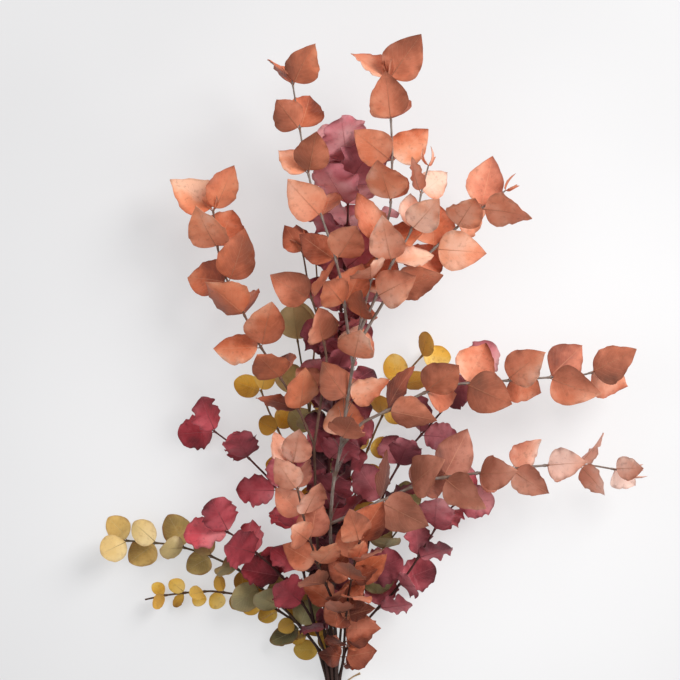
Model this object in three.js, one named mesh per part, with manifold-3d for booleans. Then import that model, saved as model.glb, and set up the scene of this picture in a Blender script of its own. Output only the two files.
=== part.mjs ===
// A bunch of preserved eucalyptus branches lying on a table.
// Eleven cut stems are gathered side by side and held by a few turns of twine near their cut ends.
// Three stems carry broad pointed apricot leaves, three carry round burgundy leaves, three carry small
// yellow leaves and two carry olive leaves. Leaves grow in opposite pairs, and each pair stands a
// quarter turn from the pair below it. Every leafy stem is one closed solid.
//
// Lengths are in millimetres. The plan is drawn from the bunch's cut ends: x runs to the right, y runs
// from the cut ends towards the tips and z is the height above the table. ORIGIN moves the middle of the
// whole bunch to the part's origin.
import * as THREE from "three";
import { mergeVertices } from "three/addons/utils/BufferGeometryUtils.js";
import Module from "manifold-3d";

const wasm = await Module();
wasm.setup();

const ORIGIN = new THREE.Vector3(34.9, 343.5, 0);
const UP = new THREE.Vector3(0, 0, 1);
const DEGREE = Math.PI / 180;
const WELD = 1e-4;

// Stems
const STEM_SIDES = 5;
const SHOOT_SIDES = 4;
const STEM_TIP_RADIUS = 0.9;
const SHOOT_TIP_RADIUS = 0.8;

// Leaves
const STALK_HALF_WIDTH = 0.7;
const AROUND_SPREAD = 16; // degrees that a leaf strays about its stem, either way
const LIFT_SPREAD = 14; // degrees that it strays in its lift along the stem
const TIP_LIFT = 14; // degrees that the last pair is lifted more
const FACING = [0.35, 0.95]; // least and most share that a blade is turned up to the sky
const ROLL_SPREAD = 28; // degrees that a blade rolls about its axis
const SIZES = [0.88, 1.08]; // least and greatest size, over the size asked for
const CUPS = [-1, 2.2]; // least and greatest cup, over that of the kind
const EDGE_SHIFT = 2.1; // radians that the waves of the right edge run ahead of the left edge's
const EDGE_POWER = 1.5; // how late across the blade its edges begin to rise
const CLEAR_OF_NEIGHBOURS = 0.35; // air between two branches
const CLEAR_OF_OWN_LEAVES = 0.05; // air between two leaves of one branch
const SEARCH = 1.5; // how far neighbours are looked for, over the air asked for
const MOST_TRIES = 24; // directions a leaf tries before it is left out
const TRY_TURN = 12; // degrees that it turns further about its stem after each round of lifts
const TRY_LIFTS = [0, -10, -20]; // degrees of lift in a round
const TRY_FACINGS = [1, 0.75, 0.5, 0.25]; // shares of its own turn to the sky
const TRY_SHRINK = 0.012; // how much smaller each try is
const PRESSED_TRIES = 9; // the first of them, in which a leaf below a low stem lies flat on the table
const PRESSED_TURN = -0.1; // vertical share of the way out of its stem, under which a leaf is below it
const PRESSED_BELOW = 0.8; // a leaf reaches the table from a height under this share of its length
const PRESSED_FROM = 0.42; // share of such a leaf's length that bends down to the table
const PRESSED_DEPTH = 5; // how far that bend is pushed past the table, which flattens the rest

// A leaf kind's outline is broadest where s = shoulder / (shoulder + taper) of its length. width is the
// breadth over the length. cup lifts the edges, arch bends the tip, twist turns the blade along its
// length and wave and ripple swing the edges up and down, and in and out.
const KINDS = {
  apricot: {
    width: 0.84,
    shoulder: 0.48,
    taper: 1,
    stalk: 4.5,
    thickness: 0.7,
    rib: true,
    stations: [0.1, 0.38, 0.7],
    lift: 42,
    cup: 0.18,
    arch: 0.2,
    twist: 30,
    wave: 0.02,
    ripple: 0,
    waves: 1.3,
  },
  burgundy: {
    width: 0.92,
    shoulder: 0.5,
    taper: 0.56,
    stalk: 3.5,
    thickness: 0.7,
    rib: false,
    stations: [0.12, 0.46, 0.82],
    lift: 44,
    cup: 0.12,
    arch: 0.12,
    twist: 26,
    wave: 0.045,
    ripple: 0.06,
    waves: 2.6,
  },
  yellow: {
    width: 0.86,
    shoulder: 0.55,
    taper: 0.6,
    stalk: 2.5,
    thickness: 0.6,
    rib: false,
    stations: [0.25, 0.75],
    lift: 34,
    cup: 0.12,
    arch: 0.1,
    twist: 20,
    wave: 0.01,
    ripple: 0,
    waves: 1,
  },
  olive: {
    width: 0.9,
    shoulder: 0.5,
    taper: 0.66,
    stalk: 3,
    thickness: 0.7,
    rib: false,
    stations: [0.12, 0.44, 0.78],
    lift: 40,
    cup: 0.14,
    arch: 0.12,
    twist: 20,
    wave: 0.02,
    ripple: 0,
    waves: 1.5,
  },
};

// Each stem: its leaf kind, its radius in the bundle, the route of its middle line and its pairs of
// leaves. Pairs stand between two lengths along the line, from is the size of the lowest pair's leaves
// and to that of the last. phase turns the lowest pair about the line: at 0 it lies level.
// A shoot leaves its stem at a length along that stem's line.
const STEMS = [
  {
    name: "apricot_tall",
    kind: "apricot",
    radius: 2.1,
    route: [
      [2.4, 0, 10.8], [2.4, 32, 10.8], [2.5, 62, 16], [-1, 120, 38], [-4, 200, 68], [-1, 240, 80],
      [7, 280, 88], [20, 370, 96], [26, 400, 98], [40, 458, 100], [49, 485, 100], [56, 515, 99],
      [58, 570, 97], [56, 615, 95], [54, 645, 94],
    ],
    pairs: { first: 300, last: 662, count: 10, from: 46, to: 48, phase: 96 },
    shoots: [
      {
        at: 405,
        radius: 1.5,
        route: [[50, 446, 107], [62, 470, 111], [73, 486, 112], [82, 508, 112], [86, 530, 110], [93, 556, 108]],
        pairs: { first: 42, last: 154, count: 4, from: 44, to: 36, phase: 60 },
      },
      {
        at: 392,
        radius: 1.6,
        route: [[56, 434, 92], [106, 482, 82], [129, 503, 80], [171, 534, 80]],
        pairs: { first: 66, last: 190, count: 5, from: 50, to: 52, phase: 20 },
      },
      {
        at: 292,
        radius: 1.7,
        route: [[28, 303, 92], [94, 334, 80], [124, 341, 76], [184, 345, 72], [252, 350, 68], [276, 358, 66]],
        pairs: { first: 60, last: 272, count: 6, from: 48, to: 50, phase: 30 },
      },
      {
        at: 210,
        radius: 1.8,
        route: [
          [24, 213, 77], [94, 245, 73], [134, 250, 70], [194, 257, 66], [229, 260, 64], [264, 258, 62],
          [296, 252, 60],
        ],
        pairs: { first: 56, last: 298, count: 8, from: 52, to: 34, phase: 10 },
      },
      {
        at: 376,
        radius: 1.6,
        route: [[13, 400, 104], [8, 440, 108], [0, 472, 108], [-22, 535, 104], [-30, 570, 102], [-42, 646, 98]],
        pairs: { first: 60, last: 284, count: 6, from: 46, to: 42, phase: 130 },
      },
    ],
  },
  {
    name: "apricot_left",
    kind: "apricot",
    radius: 1.7,
    route: [
      [-1.8, 0, 10.3], [-1.8, 32, 10.3], [-4, 62, 14], [-11, 120, 34], [-17, 180, 54], [-19, 240, 64],
      [-20, 280, 70], [-33, 310, 74], [-46, 335, 76], [-76, 382, 74], [-96, 422, 70],
      [-114, 458, 66], [-118, 482, 64], [-122, 516, 64],
    ],
    pairs: { first: 326, last: 548, count: 7, from: 46, to: 52, phase: 20 },
    shoots: [
      {
        at: 288,
        radius: 1.5,
        route: [[-12, 330, 80], [-7, 365, 84], [-12, 395, 86], [-22, 425, 86], [-27, 448, 85], [-32, 478, 83]],
        pairs: { first: 60, last: 196, count: 4, from: 42, to: 44, phase: 10 },
      },
    ],
  },
  {
    name: "apricot_low",
    kind: "apricot",
    radius: 1.6,
    route: [
      [4, 0, 6.9], [4, 32, 6.9], [8.5, 48, 10], [10, 62, 19], [11, 92, 44], [14, 126, 68],
      [20, 160, 88], [26, 188, 98],
    ],
    pairs: { first: 60, last: 212, count: 8, from: 36, to: 42, phase: 30 },
    shoots: [
      {
        at: 108,
        radius: 1.5,
        route: [[-2, 124, 64], [-16, 160, 84], [-28, 200, 92], [-36, 236, 92], [-42, 262, 90]],
        pairs: { first: 30, last: 184, count: 7, from: 38, to: 38, phase: 40 },
      },
    ],
  },
  {
    name: "burgundy_tall",
    kind: "burgundy",
    radius: 1.7,
    route: [
      [0, 0, 6.9], [0, 32, 6.9], [-1, 62, 9], [-5, 120, 23], [-7, 180, 36], [-6, 240, 45],
      [-2, 300, 51], [7, 410, 58], [14, 510, 65], [14, 545, 68], [13, 566, 70],
    ],
    pairs: { first: 118, last: 569, count: 22, from: 38, to: 58, phase: 0 },
    shoots: [],
  },
  {
    name: "burgundy_left",
    kind: "burgundy",
    radius: 1.6,
    route: [
      [-5.7, 0, 10], [-5.7, 32, 10], [-10, 62, 12], [-24, 100, 22], [-42, 130, 30],
      [-64, 154, 34], [-88, 174, 36], [-104, 186, 36], [-112, 190, 36],
    ],
    pairs: { first: 86, last: 228, count: 5, from: 38, to: 44, phase: 10 },
    shoots: [
      {
        at: 92,
        radius: 1.5,
        route: [
          [-30, 140, 32], [-38, 186, 34], [-50, 220, 32], [-68, 244, 29], [-88, 264, 27],
          [-108, 280, 25], [-126, 293, 24],
        ],
        pairs: { first: 62, last: 238, count: 5, from: 38, to: 36, phase: 0 },
      },
    ],
  },
  {
    name: "burgundy_right",
    kind: "burgundy",
    radius: 1.6,
    route: [
      [5.6, 0, 3.5], [5.6, 32, 3.5], [11, 62, 6], [26, 86, 13], [42, 105, 19], [60, 124, 24],
      [79, 150, 28], [96, 178, 30], [112, 206, 30], [126, 218, 30],
    ],
    pairs: { first: 122, last: 257, count: 5, from: 38, to: 38, phase: 20 },
    shoots: [
      {
        at: 90,
        radius: 1.4,
        route: [
          [28, 140, 24], [38, 190, 28], [54, 235, 28], [74, 270, 26], [98, 297, 24],
          [120, 322, 23], [140, 345, 22], [158, 352, 22],
        ],
        pairs: { first: 60, last: 298, count: 7, from: 42, to: 38, phase: 0 },
      },
    ],
  },
  {
    name: "yellow_right",
    kind: "yellow",
    radius: 1.5,
    route: [
      [1.9, 0, 3.5], [1.9, 32, 3.5], [5, 62, 5], [10, 120, 9], [16, 190, 12], [26, 250, 14],
      [42, 290, 15], [58, 325, 16], [74, 350, 16], [92, 370, 16],
    ],
    pairs: { first: 90, last: 387, count: 9, from: 22, to: 32, phase: 110 },
    shoots: [],
  },
  {
    name: "yellow_left",
    kind: "yellow",
    radius: 1.5,
    route: [
      [-3.8, 0, 6.7], [-3.8, 32, 6.7], [-7, 62, 8], [-16, 120, 11], [-28, 180, 13], [-40, 240, 14],
      [-54, 284, 15], [-68, 312, 15], [-76, 334, 15],
    ],
    pairs: { first: 80, last: 342, count: 7, from: 23, to: 28, phase: 50 },
    shoots: [
      {
        at: 188,
        radius: 1.2,
        route: [[-26, 240, 12], [-26, 300, 9], [-22, 360, 10], [-18, 400, 12], [-17, 435, 13], [-19, 468, 13]],
        pairs: { first: 60, last: 281, count: 4, from: 25, to: 25, phase: 10 },
      },
    ],
  },
  {
    name: "yellow_low",
    kind: "yellow",
    radius: 1.5,
    route: [
      [-5.6, 0, 3.5], [-5.6, 32, 3.5], [-13, 60, 4.5], [-36, 90, 8], [-66, 110, 10], [-96, 121, 11],
      [-126, 125, 11], [-156, 123, 10], [-178, 120, 10], [-196, 116, 10],
    ],
    pairs: { first: 64, last: 246, count: 10, from: 24, to: 18, phase: 15 },
    shoots: [],
  },
  {
    name: "olive_low",
    kind: "olive",
    radius: 1.6,
    route: [
      [-7.6, 0, 6.6], [-7.6, 32, 6.6], [-17, 66, 9], [-46, 102, 16], [-76, 130, 19],
      [-101, 150, 20], [-131, 164, 20], [-166, 174, 19], [-200, 177, 18], [-222, 178, 17],
    ],
    pairs: { first: 96, last: 304, count: 8, from: 34, to: 32, phase: 20 },
    shoots: [],
  },
  {
    name: "olive_upper",
    kind: "olive",
    radius: 1.5,
    route: [
      [-1.9, 0, 3.5], [-1.9, 32, 3.5], [-3, 62, 4.5], [-6, 120, 8], [-12, 180, 11], [-18, 240, 14],
      [-24, 300, 18], [-32, 350, 20], [-38, 386, 19],
    ],
    pairs: { first: 150, last: 386, count: 6, from: 32, to: 38, phase: 10 },
    shoots: [
      {
        at: 84,
        radius: 1.3,
        route: [[8, 106, 4.5], [24, 132, 8], [44, 160, 14], [62, 184, 18], [76, 202, 20]],
        pairs: { first: 60, last: 143, count: 3, from: 32, to: 34, phase: 0 },
      },
    ],
  },
];

const LEAF_COLOURS = {
  apricot: 0xc8714a,
  burgundy: 0x7d2a3c,
  yellow: 0xc4932f,
  olive: 0x8f8158,
};

// Twine: turns that wind round the stems from the lower to the upper turn, a knot on top and two ends
// that fall to the table.
const TWINE_COLOUR = 0xa98a5f;
const TWINE_RADIUS = 0.8;
const TWINE_TURNS = 3;
const TWINE_PITCH = 1.9;
const TWINE_START = 18; // height of the lowest turn above the cut ends
const TWINE_STEPS = 10; // straight steps of one turn
const TWINE_SIDES = 4;
const TWINE_GAP = 0.3; // air between the twine and the wood
const KNOT_MIDDLE = [2.4, 21.8, 15.9];
const KNOT_RADIUS = 1.7;
const KNOT_STEPS = 6;
const LOWER_END = [[27, 38, 0.9], [20, 35, 1.8], [13, 31, 7], [9, 27, 12.8], [5, 23, 15.2]];
const UPPER_END = [[-1, 22, 14.9], [-6, 20, 14], [-11.5, 17, 9], [-15, 13, 3.5], [-21, 7, 0.9]];

const mix = (a, b, t) => a + (b - a) * t;

// A repeatable number from 0 to 1 for a leaf and one of its traits.
function chance(stem, shoot, leaf, trait) {
  const raw = Math.sin(stem * 12.9898 + shoot * 78.233 + leaf * 37.719 + trait * 9.131) * 43758.5453;
  return raw - Math.floor(raw);
}

// A closed solid from points and triangles. Points closer than WELD become one.
function solidFrom(points, triangles) {
  const geometry = new THREE.BufferGeometry();
  geometry.setAttribute("position", new THREE.Float32BufferAttribute(points.flatMap((p) => [p.x, p.y, p.z]), 3));
  geometry.setIndex(triangles);
  const merged = mergeVertices(geometry, WELD);
  return new wasm.Manifold(
    new wasm.Mesh({
      numProp: 3,
      vertProperties: merged.attributes.position.array,
      triVerts: new Uint32Array(merged.index.array),
    }),
  );
}

// The greatest closed shell of a solid: sealed hollows are filled and loose scraps dropped.
function wholeOf(solid) {
  return solid.decompose().reduce((best, piece) => (piece.volume() > best.volume() ? piece : best));
}

function geometryFrom(solid) {
  const mesh = solid.getMesh();
  const positions = new Float32Array(mesh.numVert * 3);
  for (let i = 0; i < mesh.numVert; i++) {
    positions.set(mesh.vertProperties.subarray(i * mesh.numProp, i * mesh.numProp + 3), i * 3);
  }
  const geometry = new THREE.BufferGeometry();
  geometry.setAttribute("position", new THREE.BufferAttribute(positions, 3));
  geometry.setIndex(new THREE.BufferAttribute(mesh.triVerts, 1));
  return geometry;
}

// The directions along a line, level to its right, and above it.
function frameOf(along) {
  const side = along.clone().cross(UP).normalize();
  return { along, side, above: side.clone().cross(along).normalize() };
}

// The point and frame at a length along a line.
function placeOn(line, length) {
  let walked = 0;
  for (let i = 1; i < line.length; i++) {
    const step = line[i].distanceTo(line[i - 1]);
    if (walked + step >= length || i === line.length - 1) {
      const t = Math.min(1, (length - walked) / step);
      const along = line[i].clone().sub(line[i - 1]).normalize();
      return { point: line[i - 1].clone().lerp(line[i], t), ...frameOf(along) };
    }
    walked += step;
  }
}

// Round wood that tapers along a line.
function wood(line, startRadius, endRadius, sides) {
  const points = [];
  const triangles = [];
  line.forEach((middle, i) => {
    const before = line[Math.max(0, i - 1)];
    const after = line[Math.min(line.length - 1, i + 1)];
    const { side, above } = frameOf(after.clone().sub(before).normalize());
    const radius = mix(startRadius, endRadius, i / (line.length - 1));
    for (let k = 0; k < sides; k++) {
      const angle = (2 * Math.PI * (k + 0.5)) / sides;
      points.push(
        middle
          .clone()
          .addScaledVector(side, radius * Math.cos(angle))
          .addScaledVector(above, radius * Math.sin(angle)),
      );
    }
  });
  for (let i = 0; i + 1 < line.length; i++) {
    for (let k = 0; k < sides; k++) {
      const a = i * sides + k;
      const b = i * sides + ((k + 1) % sides);
      triangles.push(a, a + sides, b, b, a + sides, b + sides);
    }
  }
  const last = (line.length - 1) * sides;
  for (let k = 1; k + 1 < sides; k++) {
    triangles.push(0, k, k + 1, last, last + k + 1, last + k);
  }
  return solidFrom(points, triangles);
}

// The half width of a blade over its greatest half width, s from 0 at the stalk to 1 at the tip.
function outline(kind, s) {
  const broadest = kind.shoulder / (kind.shoulder + kind.taper);
  return (s / broadest) ** kind.shoulder * ((1 - s) / (1 - broadest)) ** kind.taper;
}

// A point of the middle surface of a blade: s along it, v from -1 to 1 across it.
function bladePoint(leaf, s, v) {
  const { kind, length } = leaf;
  const swing = 2 * Math.PI * kind.waves * s + leaf.swing + (v > 0 ? EDGE_SHIFT : 0);
  const half = 0.5 * kind.width * length * outline(kind, s) * (1 + kind.ripple * Math.sin(2 * swing));
  const turn = leaf.twist * s;
  const across = leaf.across.clone().multiplyScalar(Math.cos(turn)).addScaledVector(leaf.face, Math.sin(turn));
  const face = leaf.face.clone().multiplyScalar(Math.cos(turn)).addScaledVector(leaf.across, -Math.sin(turn));
  const edge = Math.abs(v) ** EDGE_POWER;
  const rise = length * leaf.arch * s * s + half * leaf.cup * edge + length * kind.wave * edge * Math.sin(swing);
  const point = leaf.base.clone();
  point.addScaledVector(leaf.axis, length * s);
  point.addScaledVector(across, half * v);
  point.addScaledVector(face, rise);
  point.z -= leaf.sink * Math.min(1, s / PRESSED_FROM);
  point.z = Math.max(point.z, kind.thickness / 2);
  return point;
}

// A leaf as a thin closed blade on a stalk that starts in the middle of the wood. Rows of points run
// across it, on both edges and, where it has one, on its rib. Both faces are split into triangles alike.
// A free blade has no stalk.
function bladeSolid(leaf, free) {
  const { kind } = leaf;
  const rowPlaces = kind.rib ? [-1, 0, 1] : [-1, 1];
  const middle = [-1, 1].map((v) => leaf.base.clone().addScaledVector(leaf.across, v * STALK_HALF_WIDTH));
  const faces = [];
  let row = [0, 1];
  for (const s of kind.stations) {
    const next = rowPlaces.map((v, i) => middle.length + i);
    middle.push(...rowPlaces.map((v) => bladePoint(leaf, s, v)));
    faces.push(...stripFaces(row, next));
    row = next;
  }
  const tip = middle.length;
  middle.push(bladePoint(leaf, 1, 0));
  faces.push(...stripFaces(row, [tip]));

  const normals = middle.map(() => new THREE.Vector3());
  for (const [a, b, c] of faces) {
    const normal = middle[b].clone().sub(middle[a]).cross(middle[c].clone().sub(middle[a]));
    [a, b, c].forEach((i) => normals[i].add(normal));
  }
  normals.forEach((normal, i) => {
    if (middle[i].z <= kind.thickness / 2) normal.set(0, 0, Math.sign(normal.z));
    normal.normalize();
  });
  const faceAt = (offset) => middle.map((p, i) => p.clone().addScaledVector(normals[i], offset));
  const count = middle.length;
  const root = 2 * count;
  const right = [1, ...kind.stations.map((s, i) => 1 + rowPlaces.length * (i + 1)), tip];
  const left = [0, ...kind.stations.map((s, i) => 2 + rowPlaces.length * i), tip];
  const triangles = [];
  for (const [a, b, c] of faces) {
    triangles.push(a, b, c, a + count, c + count, b + count);
  }
  for (const [edge, turn] of [[right, 1], [left, -1]]) {
    edge.slice(1).forEach((b, i) => {
      const [from, to] = turn > 0 ? [edge[i], b] : [b, edge[i]];
      triangles.push(to, from, from + count, to, from + count, to + count);
    });
  }
  if (free) {
    triangles.push(0, count, count + 1, 0, count + 1, 1);
  } else {
    triangles.push(root, 1, 0, root, count, count + 1, root, 0, count, root, count + 1, 1);
  }
  const points = [...faceAt(kind.thickness / 2), ...faceAt(-kind.thickness / 2)];
  return solidFrom(free ? points : [...points, leaf.root], triangles);
}

// The triangles between one row of points and the next, with one, two or three points each.
function stripFaces(row, next) {
  const faces = [];
  let i = 0;
  let j = 0;
  while (i + 1 < row.length || j + 1 < next.length) {
    const rowDone = (i + 1) / row.length;
    const nextDone = (j + 1) / next.length;
    if (j + 1 < next.length && (i + 1 === row.length || nextDone <= rowDone)) {
      faces.push([row[i], next[j + 1], next[j]]);
      j += 1;
    } else {
      faces.push([row[i], row[i + 1], next[j]]);
      i += 1;
    }
  }
  return faces;
}

// The nth direction that a leaf tries: turned about the stem, lifted along it and a little smaller.
function tryNumber(n) {
  return {
    turn: (n % 2 ? 1 : -1) * Math.ceil(n / TRY_LIFTS.length) * TRY_TURN * DEGREE,
    lift: TRY_LIFTS[n % TRY_LIFTS.length] * DEGREE,
    facing: TRY_FACINGS[n % TRY_FACINGS.length],
    shrink: 1 - TRY_SHRINK * n,
  };
}

// One leaf of a pair on a line, in the nth direction that it tries.
function leafAt(line, branch, pair, member, n, random) {
  const kind = KINDS[branch.kind];
  const { first, last, count, from, to, phase } = branch.pairs;
  const share = pair / (count - 1);
  const place = placeOn(line, mix(first, last, share));
  const { turn, lift, facing: faced, shrink } = tryNumber(n);
  const around = (phase + 90 * pair + 180 * member + mix(-AROUND_SPREAD, AROUND_SPREAD, random(0))) * DEGREE + turn;
  const lifted = (kind.lift + mix(-LIFT_SPREAD, LIFT_SPREAD, random(1)) + TIP_LIFT * share ** 4) * DEGREE + lift;
  const outward = place.side.clone().multiplyScalar(Math.cos(around)).addScaledVector(place.above, Math.sin(around));
  const axis = outward.clone().multiplyScalar(Math.cos(lifted)).addScaledVector(place.along, Math.sin(lifted));
  const inner = place.along.clone().multiplyScalar(Math.cos(lifted)).addScaledVector(outward, -Math.sin(lifted));
  const skyward = UP.clone().addScaledVector(axis, -UP.dot(axis)).normalize();
  if (skyward.dot(inner) < 0) skyward.negate();
  const facing = mix(...FACING, random(2)) * faced;
  const face = inner.multiplyScalar(1 - facing).addScaledVector(skyward, facing).normalize();
  face.applyAxisAngle(axis, mix(-ROLL_SPREAD, ROLL_SPREAD, random(3)) * DEGREE);
  const length = mix(from, to, share) * mix(...SIZES, random(4)) * shrink;
  const pressed = n < PRESSED_TRIES && outward.z < PRESSED_TURN && place.point.z < PRESSED_BELOW * length;
  if (pressed) {
    axis.setZ(0).normalize();
    face.copy(UP);
  }
  return {
    kind,
    root: place.point,
    base: place.point.clone().addScaledVector(axis, kind.stalk),
    length,
    sink: pressed ? place.point.z + PRESSED_DEPTH : 0,
    axis,
    face,
    across: axis.clone().cross(face),
    arch: kind.arch * mix(-1, 1, random(5)),
    cup: kind.cup * mix(...CUPS, random(6)),
    twist: pressed ? 0 : kind.twist * mix(-1, 1, random(7)) * DEGREE,
    swing: 2 * Math.PI * random(8),
  };
}

const boxesMeet = (a, b, gap) =>
  [0, 1, 2].every((i) => a.min[i] <= b.max[i] + gap && b.min[i] <= a.max[i] + gap);

const branches = STEMS.flatMap((stem, s) => {
  const stemLine = stem.route.map((p) => new THREE.Vector3(...p));
  const trunk = { ...stem, stem: s, shoot: 0, line: stemLine };
  trunk.solid = wood(stemLine, stem.radius, STEM_TIP_RADIUS, STEM_SIDES);
  const shoots = stem.shoots.map((shoot, i) => {
    const line = [placeOn(stemLine, shoot.at).point, ...shoot.route.map((p) => new THREE.Vector3(...p))];
    const solid = wood(line, shoot.radius, SHOOT_TIP_RADIUS, SHOOT_SIDES);
    return { ...shoot, kind: stem.kind, stem: s, shoot: i + 1, line, solid };
  });
  return [trunk, ...shoots];
});

// What is placed: the whole solid, the free blade of a leaf, and the box round it.
const placed = branches.map(({ solid, stem }) => ({ solid, free: solid, stem, box: solid.boundingBox() }));

// A leaf is clear if it keeps its distance from the other branches and from the leaves and wood of its
// own branch. Its own stalk is left aside there, because that grows out of the wood.
function isClear(leaf) {
  return placed.every((other) => {
    const own = other.stem === leaf.stem;
    const gap = own ? CLEAR_OF_OWN_LEAVES : CLEAR_OF_NEIGHBOURS;
    if (!boxesMeet(leaf.box, other.box, gap)) return true;
    const [a, b] = own ? [leaf.free, other.free] : [leaf.solid, other.solid];
    return a.minGap(b, gap * SEARCH) >= gap;
  });
}

// The pairs of all branches are placed in turns, so that no branch takes all the room.
const mostPairs = Math.max(...branches.map((branch) => branch.pairs.count));
for (let pair = 0; pair < mostPairs; pair++) {
  for (const branch of branches.filter((other) => pair < other.pairs.count)) {
    for (const member of [0, 1]) {
      const random = (trait) => chance(branch.stem, branch.shoot, 2 * pair + member, trait);
      for (let n = 0; n < MOST_TRIES; n++) {
        const shape = leafAt(branch.line, branch, pair, member, n, random);
        const solid = bladeSolid(shape, false);
        const leaf = { solid, free: bladeSolid(shape, true), stem: branch.stem, box: solid.boundingBox() };
        if (isClear(leaf)) {
          placed.push(leaf);
          break;
        }
      }
    }
  }
}

// The twine lies round the outermost stems, and in each direction it lies on the one that reaches
// furthest. It starts and ends on top.
function twineSolid() {
  const turns = [];
  for (let i = 0; i <= TWINE_TURNS * TWINE_STEPS; i++) {
    const angle = (0.25 + i / TWINE_STEPS) * 2 * Math.PI;
    const out = new THREE.Vector3(Math.cos(angle), 0, Math.sin(angle));
    const reach = STEMS.map(({ route: [[x, , z]], radius }) =>
      new THREE.Vector3(x, 0, z).addScaledVector(out, radius + TWINE_GAP + TWINE_RADIUS),
    );
    const point = reach.reduce((best, p) => (p.dot(out) > best.dot(out) ? p : best));
    point.y = TWINE_START + (TWINE_PITCH * i) / TWINE_STEPS;
    turns.push(point);
  }
  const ends = [LOWER_END, UPPER_END].map((end) => end.map((p) => new THREE.Vector3(...p)));
  const cord = wood([...ends[0], ...turns, ...ends[1]], TWINE_RADIUS, TWINE_RADIUS, TWINE_SIDES);
  const knot = new THREE.TorusGeometry(KNOT_RADIUS, TWINE_RADIUS, TWINE_SIDES, KNOT_STEPS);
  knot.rotateY(Math.PI / 2);
  knot.translate(...KNOT_MIDDLE);
  const points = [];
  for (let i = 0; i < knot.attributes.position.count; i++) {
    points.push(new THREE.Vector3().fromBufferAttribute(knot.attributes.position, i));
  }
  return cord.add(solidFrom(points, Array.from(knot.index.array)));
}

const bunch = new THREE.Group();
bunch.position.copy(ORIGIN).negate();

STEMS.forEach((stem, s) => {
  const solids = placed.filter((piece) => piece.stem === s).map((piece) => piece.solid);
  const material = new THREE.MeshStandardMaterial({ color: LEAF_COLOURS[stem.kind], roughness: 0.75, metalness: 0 });
  const mesh = new THREE.Mesh(geometryFrom(wholeOf(wasm.Manifold.union(solids))), material);
  mesh.name = stem.name;
  bunch.add(mesh);
});

const twine = new THREE.Mesh(
  geometryFrom(wholeOf(twineSolid())),
  new THREE.MeshStandardMaterial({ color: TWINE_COLOUR, roughness: 0.9, metalness: 0 }),
);
twine.name = "twine_tie";
bunch.add(twine);

export default bunch;
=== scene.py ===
"""Looks of a tied bunch of preserved eucalyptus branches that lies on a pale surface.

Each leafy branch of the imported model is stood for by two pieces, its leaves and its wood. They follow the
same routes and the same leaf rule as the solids do. A leaf of a solid took the first clear one of several
directions, and the solid's own corners say which one that was, so each fine leaf lies on its solid. The
small leaves deep in the bunch, the curled leaves at the tips, and the loose fibres of the bark and the twine
are here alone.

The plan is drawn in millimetres from the cut ends, and the pieces are made in metres in the model's frame.
"""

import logging
import math
from dataclasses import dataclass, field, replace
from enum import Enum
from typing import ClassVar

import bpy
import numpy as np
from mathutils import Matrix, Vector, kdtree
from mathutils.bvhtree import BVHTree


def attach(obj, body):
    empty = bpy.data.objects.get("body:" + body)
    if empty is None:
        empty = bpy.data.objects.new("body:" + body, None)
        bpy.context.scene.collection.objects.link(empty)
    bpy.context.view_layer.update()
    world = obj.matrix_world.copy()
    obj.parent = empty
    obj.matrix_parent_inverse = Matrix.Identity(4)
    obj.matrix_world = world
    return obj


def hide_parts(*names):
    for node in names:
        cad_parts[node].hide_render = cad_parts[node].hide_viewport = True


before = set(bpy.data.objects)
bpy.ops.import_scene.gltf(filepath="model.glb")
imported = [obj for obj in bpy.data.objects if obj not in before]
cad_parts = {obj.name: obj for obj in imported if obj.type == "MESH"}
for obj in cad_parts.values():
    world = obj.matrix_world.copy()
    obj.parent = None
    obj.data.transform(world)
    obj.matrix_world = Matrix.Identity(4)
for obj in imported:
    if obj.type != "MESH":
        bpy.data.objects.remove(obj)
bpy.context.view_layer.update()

LOG = logging.getLogger("bunch")

MM = 0.001
ORIGIN = np.array([34.9, 343.5, 0.0])
UP = np.array([0.0, 0.0, 1.0])
TAU = 2 * math.pi
DEGREE = math.pi / 180
UPRIGHT = 0.05
TWINE_NODE = "twine_tie"

Point = tuple[float, float, float]
Colour = tuple[int, int, int]


class LeafKind(Enum):
    """The four kinds of leaves in the bunch."""

    APRICOT = "apricot"
    BURGUNDY = "burgundy"
    YELLOW = "yellow"
    OLIVE = "olive"


class Bark(Enum):
    """The barks of the stems."""

    GREY = "grey bark"
    BROWN = "brown bark"
    RED = "dark red bark"
    OCHRE = "ochre bark"
    OLIVE = "olive bark"


@dataclass(frozen=True)
class LeafForm:
    """The shape of one kind of leaf. Shares are of the leaf's length or half width, and lengths are mm."""

    width: float
    shoulder: float
    taper: float
    stalk: float
    solid_thickness: float
    stations: tuple[float, ...]
    lift: float
    cup: float
    arch: float
    twist: float
    wave: float
    ripple: float
    waves: float
    rows: int
    columns: int
    thickness: float
    ragged: float
    curl: float
    groove: float
    rib_radius: float

    def outline(self, s: np.ndarray) -> np.ndarray:
        """The half width over the greatest half width.

        Args:
            s: Shares of the length, from 0 at the stalk to 1 at the tip.

        Returns:
            Shares of the greatest half width.
        """
        broadest = self.shoulder / (self.shoulder + self.taper)
        return (s / broadest) ** self.shoulder * ((1 - s) / (1 - broadest)) ** self.taper


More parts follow.
